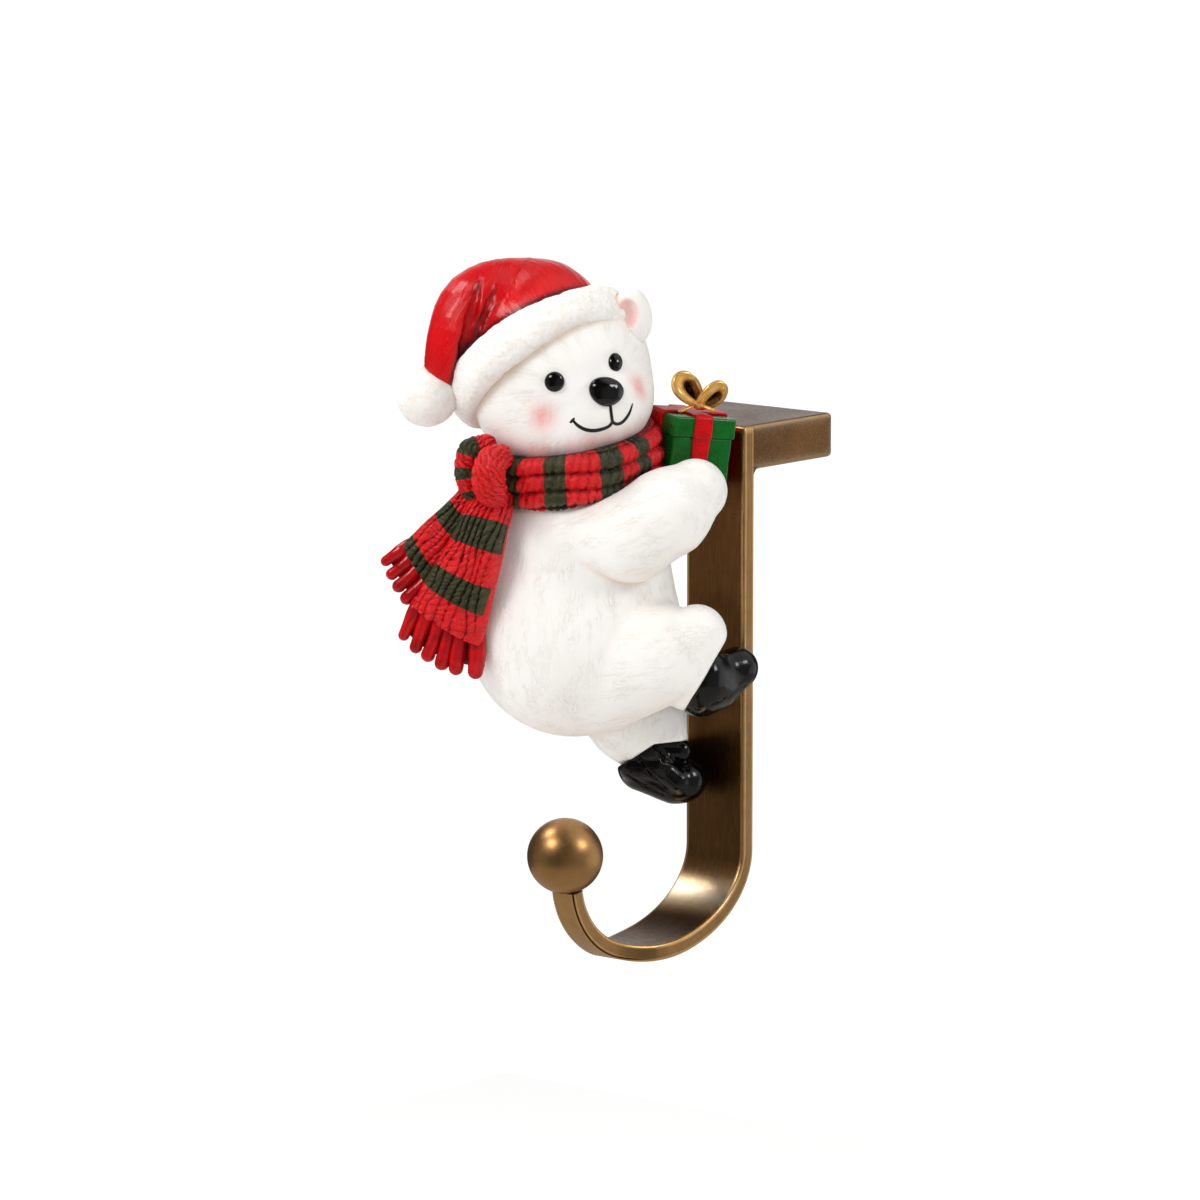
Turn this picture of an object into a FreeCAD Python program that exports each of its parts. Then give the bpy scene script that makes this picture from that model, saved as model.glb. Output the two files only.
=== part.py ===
import FreeCAD, Part
import math
import os
import Sketcher
from FreeCAD import Vector, Rotation, Placement

# Mantel stocking holder: a cast strap with a plate that lies on the mantel and
# a J hook below, a ball on the hook's tip, and a bear figure on the strap.
# Millimetres, +Z up, -Y towards the room, +Y towards the mantel. The origin is
# the middle of the grip pad's face, where the plate rests on the mantel.

doc = FreeCAD.newDocument("stocking_holder")

# ---------------------------------------------------------------- dimensions
sheet = doc.addObject("Spreadsheet::Sheet", "dims")
ROW = [0]


def cell(alias, value, note=""):
    ROW[0] += 1
    r = ROW[0]
    sheet.set("A%d" % r, alias)
    sheet.set("B%d" % r, "%.4f" % value)
    sheet.setAlias("B%d" % r, alias)
    if note:
        sheet.set("C%d" % r, note)


cell("strap_width", 20.0, "strap, across")
cell("strap_thick", 4.4, "strap and hook")
cell("plate_width", 38.5, "plate along the mantel")
cell("plate_depth", 38.0, "plate from the strap's front face back")
cell("plate_thick", 12.0, "plate")
cell("pad_proud", 0.3, "grip pad below the plate")
cell("pad_recess", 1.0, "recess for the grip pad")
cell("pad_width", 30.0, "grip pad along the mantel")
cell("pad_depth", 24.0, "grip pad front to back")
cell("pad_corner", 2.0, "grip pad corners")
cell("strap_drop", 114.3, "plate top to where the hook starts to bend")
cell("hook_reach_back", 34.75, "strap face to the hook's lowest point")
cell("hook_reach_tip", 24.4, "hook's lowest point to its foremost point")
cell("hook_depth", 20.7, "bend start to the hook's inner bottom")
cell("hook_arc_back", 14.0, "small inner radius next to the strap")
cell("hook_arc_tip", 18.8, "small inner radius under the ball")
cell("hook_tip_angle", 12.0, "tip stops this short of vertical, degrees")
cell("tip_width", 7.4, "hook width at the tip")
cell("tip_mid_width", 8.6, "hook width half way up the tip")
cell("tip_mid_reach", 12.2, "lowest point to that half way section")
cell("edge_round", 0.9, "rounded edges of the casting")
cell("root_round", 1.3, "round between strap and plate underside")
cell("spigot_dia", 4.0, "spigot on the tip")
cell("spigot_length", 6.5, "spigot on the tip")
cell("ball_dia", 20.0, "ball on the hook")
cell("ball_clear", 0.03, "radial clearance of the ball's hole")
cell("neck_dia", 7.2, "seat ground on the ball around its hole")
cell("screw_dia", 3.0, "fixing screws")
cell("screw_hole", 3.3, "clearance holes in the strap")
cell("screw_grip", 7.0, "screw length in the figure")
cell("screw_head", 5.8, "countersunk head")
cell("screw_clear", 0.05, "radial clearance of the pilot holes")
cell("screw_across", 14.75, "screws, from the strap's near edge")
cell("screw_up", 17.3, "upper screw below the plate top")
cell("screw_low", 93.6, "lower screw below the plate top")
doc.recompute()


def g(alias):
    return float(sheet.get(alias))


# the strap's front face, its near edge and the plate's top in the row frame
OX = g("plate_width") / 2.0 - 10.0
OY = -(g("plate_depth") + g("strap_thick")) / 2.0
OZ = g("plate_thick") + g("pad_proud")
# casting frame: x = 0 middle of the strap, y = 0 its front face, z = 0 plate top
CAST = Placement(Vector(OX, OY, OZ), Rotation())


def plane(body, role):
    for f in body.Origin.OriginFeatures:
        if f.Role == role:
            return f
    raise RuntimeError(role)


def sketch(body, name, role):
    s = body.newObject("Sketcher::SketchObject", name)
    s.AttachmentSupport = [(plane(body, role), "")]
    s.MapMode = "FlatFace"
    return s


def polyline(s, pts):
    n = len(pts)
    ids = []
    for i in range(n):
        ids.append(s.addGeometry(Part.LineSegment(Vector(*pts[i], 0), Vector(*pts[(i + 1) % n], 0)), False))
    for i in range(n):
        s.addConstraint(Sketcher.Constraint("Coincident", ids[i], 2, ids[(i + 1) % n], 1))
    return ids


def rect(s, x0, y0, x1, y1, names):
    """A rectangle whose four sides are held from the sketch origin by cells."""
    ids = polyline(s, [(x0, y0), (x1, y0), (x1, y1), (x0, y1)])
    s.addConstraint(Sketcher.Constraint("Horizontal", ids[0]))
    s.addConstraint(Sketcher.Constraint("Horizontal", ids[2]))
    s.addConstraint(Sketcher.Constraint("Vertical", ids[1]))
    s.addConstraint(Sketcher.Constraint("Vertical", ids[3]))
    for kind, geo, val, expr in (("DistanceX", ids[0], x0, names[0]), ("DistanceX", ids[1], x1, names[1]),
                                 ("DistanceY", ids[0], y0, names[2]), ("DistanceY", ids[2], y1, names[3])):
        c = s.addConstraint(Sketcher.Constraint(kind, -1, 1, geo, 1, val))
        if expr:
            s.setExpression("Constraints[%d]" % c, expr)
    return ids


# ------------------------------------------------------------- hook bracket
W, T = g("strap_width"), g("strap_thick")
A1, A2, BD = g("hook_reach_back"), g("hook_reach_tip"), g("hook_depth")
R1, R3 = g("hook_arc_back"), g("hook_arc_tip")
R2 = (A1 * A1 + BD * BD - 2 * A1 * R1) / (2 * (BD - R1))
R4 = (A2 * A2 + BD * BD - 2 * A2 * R3) / (2 * (BD - R3))
ZC = -g("strap_drop")


def arc(cx, cz, r, a0, a1):
    return Part.ArcOfCircle(Part.Circle(Vector(cx, cz, 0), Vector(0, 0, 1), r), math.radians(a0), math.radians(a1))


# centres of the four tangent arcs that make the hook, in (y, z)
C1 = (-R1, ZC)
C2 = (-A1, ZC - BD + R2)
C4 = (-A1, ZC - BD + R4)
C3 = (-A1 - A2 + R3, ZC)
j12 = math.degrees(math.atan2(C1[1] - C2[1], C1[0] - C2[0]))
j43 = math.degrees(math.atan2(C3[1] - C4[1], C3[0] - C4[0])) % 360.0
tipa = 180.0 + g("hook_tip_angle")

bracket = doc.addObject("PartDesign::Body", "hook_bracket")
bracket.Label = "hook_bracket"
s1 = sketch(bracket, "strap_profile", "YZ_Plane")


def on(c, r, deg):
    return (c[0] + r * math.cos(math.radians(deg)), c[1] + r * math.sin(math.radians(deg)))


# inner line down the strap's front face and round the hook, then back outside
p_top = (0.0, 0.0)
geo = []
geo.append(Part.LineSegment(Vector(0, 0, 0), Vector(0, ZC, 0)))
geo.append(arc(C1[0], C1[1], R1, j12, 0))
geo.append(arc(C2[0], C2[1], R2, -90, j12))
geo.append(arc(C4[0], C4[1], R4, j43 - 360, -90))
geo.append(arc(C3[0], C3[1], R3, tipa, j43))
ti, to = on(C3, R3, tipa), on(C3, R3 + T, tipa)
geo.append(Part.LineSegment(Vector(ti[0], ti[1], 0), Vector(to[0], to[1], 0)))
geo.append(arc(C3[0], C3[1], R3 + T, tipa, j43))
geo.append(arc(C4[0], C4[1], R4 + T, j43 - 360, -90))
geo.append(arc(C2[0], C2[1], R2 + T, -90, j12))
geo.append(arc(C1[0], C1[1], R1 + T, j12, 0))
geo.append(Part.LineSegment(Vector(T, ZC, 0), Vector(T, 0, 0)))
geo.append(Part.LineSegment(Vector(T, 0, 0), Vector(0, 0, 0)))
s1.addGeometry(geo, False)
cons = Sketcher.Constraint
# joints between neighbours: (curve, end) to (curve, end); arcs run anticlockwise
for a, ea, b, eb in ((0, 2, 1, 2), (1, 1, 2, 2), (2, 1, 3, 2), (3, 1, 4, 2), (4, 1, 5, 1), (5, 2, 6, 1),
                     (6, 2, 7, 1), (7, 2, 8, 1), (8, 2, 9, 1), (9, 2, 10, 1), (10, 2, 11, 1), (11, 2, 0, 1)):
    s1.addConstraint(cons("Coincident", a, ea, b, eb))
for a, b in ((1, 9), (2, 8), (3, 7), (4, 6)):
    s1.addConstraint(cons("Coincident", a, 3, b, 3))
for kind, geo_i, expr in (("Radius", 1, "dims.hook_arc_back"), ("Radius", 4, "dims.hook_arc_tip")):
    r = R1 if geo_i == 1 else R3
    c = s1.addConstraint(cons(kind, geo_i, r))
    s1.setExpression("Constraints[%d]" % c, expr)
c = s1.addConstraint(cons("DistanceX", 11, 2, 11, 1, T))
s1.setExpression("Constraints[%d]" % c, "dims.strap_thick")
c = s1.addConstraint(cons("DistanceY", 0, 2, 0, 1, -ZC))
s1.setExpression("Constraints[%d]" % c, "dims.strap_drop")
c = s1.addConstraint(cons("Radius", 9, R1 + T))
s1.setExpression("Constraints[%d]" % c, "dims.hook_arc_back + dims.strap_thick")
doc.recompute()

strap = bracket.newObject("PartDesign::Pad", "strap_pad")
strap.Profile = s1
strap.SideType = "Symmetric"
strap.Length = W
strap.setExpression("Length", "dims.strap_width")
doc.recompute()

# the tip narrows in plan, the same on both sides
v0 = bracket.Shape.Volume
s2 = sketch(bracket, "tip_plan", "XY_Plane")
yb, ym, yt = -A1 + 2.0, -A1 - g("tip_mid_reach"), -A1 - A2 - T - 3.0
hm, ht = g("tip_mid_width") / 2.0, g("tip_width") / 2.0
for sx in (1, -1):
    out = sx * (W / 2.0 + 3.0)
    edge = sx * W / 2.0
    curve = Part.BSplineCurve()
    pts = [Vector(edge, yb, 0), Vector(sx * 9.3, -A1 - 1.5, 0), Vector(sx * 7.2, -A1 - 5.2, 0),
           Vector(sx * 5.3, -A1 - 8.8, 0), Vector(sx * hm, ym, 0), Vector(sx * (ht + 0.1), -A1 - 17.5, 0),
           Vector(sx * ht, yt, 0)]
    curve.interpolate(pts)
    gi = s2.addGeometry(curve, False)
    l1 = s2.addGeometry(Part.LineSegment(Vector(sx * ht, yt, 0), Vector(out, yt, 0)), False)
    l2 = s2.addGeometry(Part.LineSegment(Vector(out, yt, 0), Vector(out, yb, 0)), False)
    l3 = s2.addGeometry(Part.LineSegment(Vector(out, yb, 0), Vector(edge, yb, 0)), False)
    for a, ea, b, eb in ((gi, 2, l1, 1), (l1, 2, l2, 1), (l2, 2, l3, 1), (l3, 2, gi, 1)):
        s2.addConstraint(cons("Coincident", a, ea, b, eb))
doc.recompute()
cut = bracket.newObject("PartDesign::Pocket", "tip_taper")
cut.Profile = s2
cut.Type = "Length"
cut.SideType = "Symmetric"
cut.Length = 600.0
doc.recompute()
if not bracket.Shape.Volume < v0 - 300.0:
    raise RuntimeError("the tip was not narrowed")

# the plate that lies on the mantel, flush with the strap on its near side
s3 = sketch(bracket, "plate_plan", "XY_Plane")
rect(s3, W / 2.0 - g("plate_width"), 0.0, W / 2.0, g("plate_depth"),
     ("dims.strap_width / 2 - dims.plate_width", "dims.strap_width / 2", None, "dims.plate_depth"))
doc.recompute()
plate = bracket.newObject("PartDesign::Pad", "plate_pad")
plate.Profile = s3
plate.Reversed = True
plate.Length = g("plate_thick")
plate.setExpression("Length", "dims.plate_thick")
doc.recompute()


def edges_of(shape, test):
    names = []
    for i, ed in enumerate(shape.Edges):
        if test(ed):
            names.append("Edge%d" % (i + 1))
    return names


def bbox_is(ed, x=None, y=None, z=None, tol=1e-3):
    bb = ed.BoundBox
    for lo, hi, want in ((bb.XMin, bb.XMax, x), (bb.YMin, bb.YMax, y), (bb.ZMin, bb.ZMax, z)):
        if want is not None and (abs(lo - want) > tol or abs(hi - want) > tol):
            return False
    return True


# round between the strap's back and the plate's underside
PT = g("plate_thick")
tip = bracket.Tip
root = bracket.newObject("PartDesign::Fillet", "root_fillet")
root.Base = (tip, edges_of(tip.Shape, lambda ed: bbox_is(ed, y=T, z=-PT)))
root.Radius = g("root_round")
root.setExpression("Radius", "dims.root_round")
doc.recompute()

# rounded long edges: the strap's four, the plate's outline above and below
v0 = bracket.Shape.Volume


def long_edge(ed):
    bb = ed.BoundBox
    if ed.Length < 3.0:
        return False
    xw = W / 2.0
    if bbox_is(ed, x=xw, y=0.0) or bbox_is(ed, x=-xw, y=0.0):
        return bb.ZMin < -PT - 1
    if bbox_is(ed, x=xw, y=T) or bbox_is(ed, x=-xw, y=T):
        return False
    if bbox_is(ed, z=0.0):
        return True
    if bbox_is(ed, x=W / 2.0 - g("plate_width"), y=0.0) or bbox_is(ed, x=W / 2.0 - g("plate_width"), y=g("plate_depth")):
        return True
    if bbox_is(ed, x=xw, y=g("plate_depth")):
        return True
    return False


tip = bracket.Tip
names = edges_of(tip.Shape, long_edge)
er = bracket.newObject("PartDesign::Fillet", "edge_fillet")
er.Base = (tip, names)
er.Radius = g("edge_round")
er.setExpression("Radius", "dims.edge_round")
doc.recompute()
if not bracket.Shape.Volume < v0 - 20.0:
    raise RuntimeError("the edges were not rounded")

# recess for the grip pad
v0 = bracket.Shape.Volume
s4 = sketch(bracket, "pad_recess_plan", "XY_Plane")
s4.AttachmentOffset = Placement(Vector(0, 0, -PT), Rotation())
s4.setExpression("AttachmentOffset.Base.z", "-dims.plate_thick")
px = W / 2.0 - g("plate_width") / 2.0
py = (g("plate_depth") + T) / 2.0
hw, hd = g("pad_width") / 2.0, g("pad_depth") / 2.0
rect(s4, px - hw, py - hd, px + hw, py + hd,
     ("dims.strap_width / 2 - dims.plate_width / 2 - dims.pad_width / 2",
      "dims.strap_width / 2 - dims.plate_width / 2 + dims.pad_width / 2",
      "(dims.plate_depth + dims.strap_thick - dims.pad_depth) / 2",
      "(dims.plate_depth + dims.strap_thick + dims.pad_depth) / 2"))
doc.recompute()
rec = bracket.newObject("PartDesign::Pocket", "pad_recess_cut")
rec.Profile = s4
rec.Reversed = True
rec.Length = g("pad_recess")
rec.setExpression("Length", "dims.pad_recess")
doc.recompute()
if not v0 - bracket.Shape.Volume > 0.8 * g("pad_width") * g("pad_depth") * g("pad_recess"):
    raise RuntimeError("the pad recess was not cut")

# two countersunk holes from the strap's back face
v0 = bracket.Shape.Volume
s5 = sketch(bracket, "screw_places", "XZ_Plane")
sx = W / 2.0 - g("screw_across")
for zz, alias in ((-g("screw_up"), "screw_up"), (-g("screw_low"), "screw_low")):
    gi = s5.addGeometry(Part.Circle(Vector(sx, zz, 0), Vector(0, 0, 1), g("screw_hole") / 2.0), False)
    c = s5.addConstraint(cons("Radius", gi, g("screw_hole") / 2.0))
    s5.setExpression("Constraints[%d]" % c, "dims.screw_hole / 2")
    c = s5.addConstraint(cons("DistanceX", -1, 1, gi, 3, sx))
    s5.setExpression("Constraints[%d]" % c, "dims.strap_width / 2 - dims.screw_across")
    c = s5.addConstraint(cons("DistanceY", -1, 1, gi, 3, zz))
    s5.setExpression("Constraints[%d]" % c, "-dims.%s" % alias)
doc.recompute()
hole = bracket.newObject("PartDesign::Pocket", "screw_holes")
hole.Profile = s5
hole.SideType = "Symmetric"
hole.Length = 4.0 * T
hole.setExpression("Length", "4 * dims.strap_thick")
doc.recompute()
v1 = bracket.Shape.Volume
if not v0 - v1 > 50.0:
    raise RuntimeError("the screw holes were not cut")
hr, kr = g("screw_hole") / 2.0, g("screw_head") / 2.0
for zz, alias in ((-g("screw_up"), "screw_up"), (-g("screw_low"), "screw_low")):
    sk = sketch(bracket, "sink_" + alias, "YZ_Plane")
    sk.AttachmentOffset = Placement(Vector(0, 0, sx), Rotation())
    sk.setExpression("AttachmentOffset.Base.z", "dims.strap_width / 2 - dims.screw_across")
    ids = polyline(sk, [(T - (kr - hr), zz), (T + 0.2, zz), (T + 0.2, zz + kr + 0.2), (T, zz + kr), (T - (kr - hr), zz + hr)])
    ax = sk.addGeometry(Part.LineSegment(Vector(0, zz, 0), Vector(10, zz, 0)), True)
    doc.recompute()
    gr = bracket.newObject("PartDesign::Groove", "countersink_" + alias)
    gr.Profile = sk
    gr.ReferenceAxis = (sk, ["Axis0"])
    gr.Angle = 360.0
    doc.recompute()
if not v1 - bracket.Shape.Volume > 10.0:
    raise RuntimeError("the countersinks were not cut")

# spigot at the hook's tip, along the tip's own direction
tm = on(C3, R3 + T / 2.0, tipa)
tdir = (-math.sin(math.radians(tipa)), math.cos(math.radians(tipa)))
tdir = (-tdir[0], -tdir[1])
sp = sketch(bracket, "spigot_profile", "YZ_Plane")
sr, sl = g("spigot_dia") / 2.0, g("spigot_length")
nrm = (-tdir[1], tdir[0])


def along(a, b):
    return (tm[0] + tdir[0] * a + nrm[0] * b, tm[1] + tdir[1] * a + nrm[1] * b)


ids = polyline(sp, [along(-1.0, 0), along(sl, 0), along(sl, sr - 0.4), along(sl - 0.4, sr), along(-1.0, sr)])
ax = sp.addGeometry(Part.LineSegment(Vector(*along(-2, 0), 0), Vector(*along(sl + 2, 0), 0)), True)
doc.recompute()
spg = bracket.newObject("PartDesign::Revolution", "spigot")
spg.Profile = sp
spg.ReferenceAxis = (sp, ["Axis0"])
spg.Angle = 360.0
doc.recompute()
bracket.Placement = CAST

# ---------------------------------------------------------------- grip pad
pad = doc.addObject("PartDesign::Body", "grip_pad")
pad.Label = "grip_pad"
s6 = sketch(pad, "pad_plan", "XY_Plane")
gap = 0.15
rect(s6, -hw + gap, -hd + gap, hw - gap, hd - gap,
     ("-dims.pad_width / 2 + 0.15", "dims.pad_width / 2 - 0.15", "-dims.pad_depth / 2 + 0.15", "dims.pad_depth / 2 - 0.15"))
doc.recompute()
pp = pad.newObject("PartDesign::Pad", "pad_body")
pp.Profile = s6
pp.Length = g("pad_recess") + g("pad_proud")
pp.setExpression("Length", "dims.pad_recess + dims.pad_proud")
doc.recompute()
tip = pad.Tip
names = edges_of(tip.Shape, lambda ed: abs(ed.BoundBox.ZMax - ed.BoundBox.ZMin) > 1.0)
pf = pad.newObject("PartDesign::Fillet", "pad_corners")
pf.Base = (tip, names)
pf.Radius = g("pad_corner")
pf.setExpression("Radius", "dims.pad_corner")
doc.recompute()

# ------------------------------------------------------------- ball finial
# ball with a blind hole; its own frame has the hole along -Z
ball = doc.addObject("PartDesign::Body", "ball_finial")
ball.Label = "ball_finial"
s7 = sketch(ball, "ball_section", "XZ_Plane")
br, nr = g("ball_dia") / 2.0, g("neck_dia") / 2.0
hr2, hl = sr + g("ball_clear"), sl + 0.4
seat = math.sqrt(br * br - nr * nr)
geo = [Part.LineSegment(Vector(0, -seat + hl, 0), Vector(0, br, 0)),
       Part.ArcOfCircle(Part.Circle(Vector(0, 0, 0), Vector(0, 0, 1), br), -math.acos(nr / br), math.pi / 2),
       Part.LineSegment(Vector(nr, -seat, 0), Vector(hr2, -seat, 0)),
       Part.LineSegment(Vector(hr2, -seat, 0), Vector(hr2, -seat + hl, 0)),
       Part.LineSegment(Vector(hr2, -seat + hl, 0), Vector(0, -seat + hl, 0))]
s7.addGeometry(geo, False)
for a, ea, b, eb in ((0, 2, 1, 2), (1, 1, 2, 1), (2, 2, 3, 1), (3, 2, 4, 1), (4, 2, 0, 1)):
    s7.addConstraint(cons("Coincident", a, ea, b, eb))
s7.addConstraint(cons("Coincident", 1, 3, -1, 1))
c = s7.addConstraint(cons("Radius", 1, br))
s7.setExpression("Constraints[%d]" % c, "dims.ball_dia / 2")
doc.recompute()
rv = ball.newObject("PartDesign::Revolution", "ball_turned")
rv.Profile = s7
rv.ReferenceAxis = (s7, ["V_Axis"])
rv.Angle = 360.0
doc.recompute()
tipdir = Vector(0, tdir[0], tdir[1])
tipdir.normalize()
seat_at = Vector(0, tm[0], tm[1])
centre = seat_at + tipdir * seat
brot = Rotation(Vector(0, 0, 1), tipdir)
ball.Placement = Placement(CAST.Base + centre, brot)

# ----------------------------------------------------------- fixing screws
screw = doc.addObject("PartDesign::Body", "fixing_screws")
screw.Label = "screw_tool"
s8 = sketch(screw, "screw_section", "XY_Plane")
dr = g("screw_dia") / 2.0
yh = T - 0.1
pts = [(0, yh), (kr - 0.15, yh), (dr, yh - (kr - 0.15 - dr)), (dr, -g("screw_grip") + 1.0), (0.4, -g("screw_grip")), (0, -g("screw_grip"))]
polyline(s8, pts)
doc.recompute()
rs = screw.newObject("PartDesign::Revolution", "screw_turned")
rs.Profile = s8
rs.ReferenceAxis = (s8, ["V_Axis"])
rs.Angle = 360.0
doc.recompute()
# a cross-shaped driver recess is left to the finish; both screws are one node
pair = doc.addObject("Part::Compound", "screw_pair")
pair.Label = "fixing_screws"
links = []
for zz in (g("screw_up"), g("screw_low")):
    cp = doc.addObject("Part::Feature", "screw_copy")
    cp.Shape = screw.Shape
    cp.Placement = Placement(Vector(OX + sx, OY, OZ - zz), Rotation())
    links.append(cp)
pair.Links = links
doc.recompute()

# ------------------------------------------------------------- bear figure
# One casting. Every mass is a primitive; the figure is turned 40 degrees about
# Z against the strap, so its flat directions are u (across) and d (depth).
TURN = 40.0
UX = Rotation(Vector(0, 0, 1), TURN)
ELL = [  # name, x, y, z, half width, half depth, half height, roll
    ("nose", 9.2, -66.5, 25.4, 4.5, 2.7, 3.7, 0),
    ("ear", 0.2, -43.4, 42.0, 4.6, 2.9, 7.7, -14),
]
CAPS = [  # name, start, end, start radius, end radius
    ("belly", (-12.7, -53.2, -43.6), (-12.3, -53.6, -36.0), 26.2, 26.6),
    ("chest", (-12.3, -53.6, -36.0), (-11.6, -52.6, -8.0), 26.6, 16.5),
    ("head", (-15.6, -54.9, 28.0), (-13.6, -53.3, 28.0), 21.6, 21.6),
    ("muzzle", (-3.0, -58.8, 24.0), (3.4, -62.6, 22.7), 10.0, 8.2),
    ("crown", (-20.0, -56.5, 36.0), (-31.0, -62.8, 40.6), 20.4, 15.8),
    ("hat_tip", (-35.5, -72.0, 42.0), (-38.6, -80.6, 27.5), 8.0, 5.0),
    ("pompom", (-38.8, -82.3, 21.9), (-39.2, -82.7, 21.9), 8.2, 8.2),
    ("knot", (-19.4, -80.6, -1.4), (-19.0, -80.6, 6.6), 5.4, 5.2),
    ("knot_loop", (-24.6, -80.8, 1.6), (-23.6, -80.4, 5.6), 5.8, 5.4),
    ("near_arm", (-3.3, -67.9, -13.7), (14.6, -56.7, -13.4), 9.3, 8.8),
    ("near_paw", (14.6, -56.7, -13.4), (21.6, -46.6, -2.4), 8.8, 7.8),
    ("far_arm", (-15.6, -36.4, -14.5), (-6.5, -30.2, -13.2), 8.0, 7.2),
    ("far_paw", (-6.5, -30.2, -13.2), (5.2, -27.6, -5.0), 7.2, 6.8),
    ("near_thigh", (1.7, -61.6, -48.4), (15.0, -47.0, -45.4), 13.6, 11.7),
    ("near_shin", (15.0, -47.0, -45.4), (17.9, -36.6, -46.6), 11.7, 8.8),
    ("far_thigh", (-9.8, -42.3, -61.8), (-4.6, -35.9, -67.0), 11.7, 10.1),
    ("upper_boot", (16.6, -31.0, -56.6), (24.0, -27.6, -51.4), 8.4, 6.6),
    ("lower_boot", (-3.2, -33.2, -82.4), (4.2, -29.0, -81.0), 8.2, 7.9),
    ("far_shin", (-4.6, -35.9, -67.0), (-1.3, -32.4, -75.1), 10.1, 8.6),
]
for n, *v in ELL:
    for key, val in zip(("x", "y", "z", "wide", "deep", "high", "roll"), v):
        cell("%s_%s" % (n, key), val)
for n, p, q, r1, r2 in CAPS:
    for key, val in zip(("px", "py", "pz", "qx", "qy", "qz", "start", "end"), (*p, *q, r1, r2)):
        cell("%s_%s" % (n, key), val)
cell("gift_wide", 18.2)
cell("gift_deep", 17.6)
cell("gift_high", 18.6)
cell("gift_x", 12.0)
cell("gift_y", -31.4)
cell("gift_z", 7.1)
cell("gift_turn", 64.0)
cell("brim_ring", 18.6)
cell("brim_tube", 6.4)
cell("collar_ring", 15.0)
cell("collar_tube", 8.0)
cell("bow_ring", 3.0)
cell("bow_tube", 1.5)
doc.recompute()

masses = []


def bound(ob, pairs):
    for prop, alias in pairs:
        ob.setExpression(prop, "dims." + alias)


for n, x, y, z, w, dpt, hgt, roll in ELL:
    o = doc.addObject("Part::Ellipsoid", n)
    o.Radius1, o.Radius2, o.Radius3 = hgt, w, dpt
    bound(o, (("Radius1", n + "_high"), ("Radius2", n + "_wide"), ("Radius3", n + "_deep")))
    o.Placement = Placement(Vector(x, y, z), UX * Rotation(Vector(0, 1, 0), roll))
    bound(o, (("Placement.Base.x", n + "_x"), ("Placement.Base.y", n + "_y"), ("Placement.Base.z", n + "_z")))
    masses.append(o)
for n, p, q, r1, r2 in CAPS:
    P, Q = Vector(*p), Vector(*q)
    ax = Q - P
    cn = doc.addObject("Part::Cone", n + "_limb")
    cn.Radius1, cn.Radius2, cn.Height = r1, r2, ax.Length
    bound(cn, (("Radius1", n + "_start"), ("Radius2", n + "_end")))
    cn.Placement = Placement(P, Rotation(Vector(0, 0, 1), ax))
    sa = doc.addObject("Part::Sphere", n + "_a")
    sa.Radius = r1
    bound(sa, (("Radius", n + "_start"),))
    sa.Placement = Placement(P, Rotation())
    sb = doc.addObject("Part::Sphere", n + "_b")
    sb.Radius = r2
    bound(sb, (("Radius", n + "_end"),))
    sb.Placement = Placement(Q, Rotation())
    masses += [cn, sa, sb]

# hat brim and scarf collar: rings round the head and the neck
brim = doc.addObject("Part::Torus", "brim")
brim.Radius1, brim.Radius2 = g("brim_ring"), g("brim_tube")
bound(brim, (("Radius1", "brim_ring"), ("Radius2", "brim_tube")))
naxis = UX.multVec(Vector(-0.60, 0.28, 0.75))
brim.Placement = Placement(Vector(-20.0, -56.5, 34.5), Rotation(Vector(0, 0, 1), naxis))
masses.append(brim)
collar = doc.addObject("Part::Torus", "collar")
collar.Radius1, collar.Radius2 = g("collar_ring"), g("collar_tube")
bound(collar, (("Radius1", "collar_ring"), ("Radius2", "collar_tube")))
collar.Placement = Placement(Vector(-12.8, -54.3, 0.6), UX * Rotation(Vector(0, 1, 0), -4))
masses.append(collar)

# gift box with its lid, and the bow's two loops
gift = doc.addObject("Part::Box", "gift_box")
bound(gift, (("Length", "gift_wide"), ("Width", "gift_deep"), ("Height", "gift_high")))
grot = Rotation(Vector(0, 0, 1), g("gift_turn")) * Rotation(Vector(0, 1, 0), 4.0)
goff = grot.multVec(Vector(-g("gift_wide") / 2, -g("gift_deep") / 2, -g("gift_high") / 2))
gift.Placement = Placement(Vector(g("gift_x"), g("gift_y"), g("gift_z")) + goff, grot)
masses.append(gift)
gtop = Vector(g("gift_x"), g("gift_y"), g("gift_z")) + grot.multVec(Vector(0, 0, g("gift_high") / 2))
for nm, dx, ang in (("bow_left", -3.2, -38), ("bow_right", 3.2, 38)):
    lp = doc.addObject("Part::Torus", nm)
    lp.Radius1, lp.Radius2 = g("bow_ring"), g("bow_tube")
    bound(lp, (("Radius1", "bow_ring"), ("Radius2", "bow_tube")))
    lp.Placement = Placement(gtop + UX.multVec(Vector(dx, 0, 3.6)), UX * Rotation(Vector(0, 1, 0), ang) * Rotation(Vector(1, 0, 0), 90))
    masses.append(lp)
bk = doc.addObject("Part::Sphere", "bow_knot")
bk.Radius = 2.4
bk.Placement = Placement(gtop + Vector(0, 0, 0.9), Rotation())
masses.append(bk)


# scarf tails: lofted straps through rectangles that widen towards the fringe
def tail(name, stations):
    secs = []
    for i, (c, wdir, half, thick) in enumerate(stations):
        c, wd = Vector(*c), UX.multVec(Vector(*wdir))
        wd.normalize()
        td = UX.multVec(Vector(0, 1, 0))
        pg = doc.addObject("Part::Polygon", "%s_section_%d" % (name, i))
        pg.Nodes = [c + wd * sw * half + td * st * thick / 2.0 for sw, st in ((-1, -1), (1, -1), (1, 1), (-1, 1))]
        pg.Close = True
        secs.append(pg)
    lf = doc.addObject("Part::Loft", name)
    lf.Sections = secs
    lf.Solid = True
    lf.Ruled = True
    return lf


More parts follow.
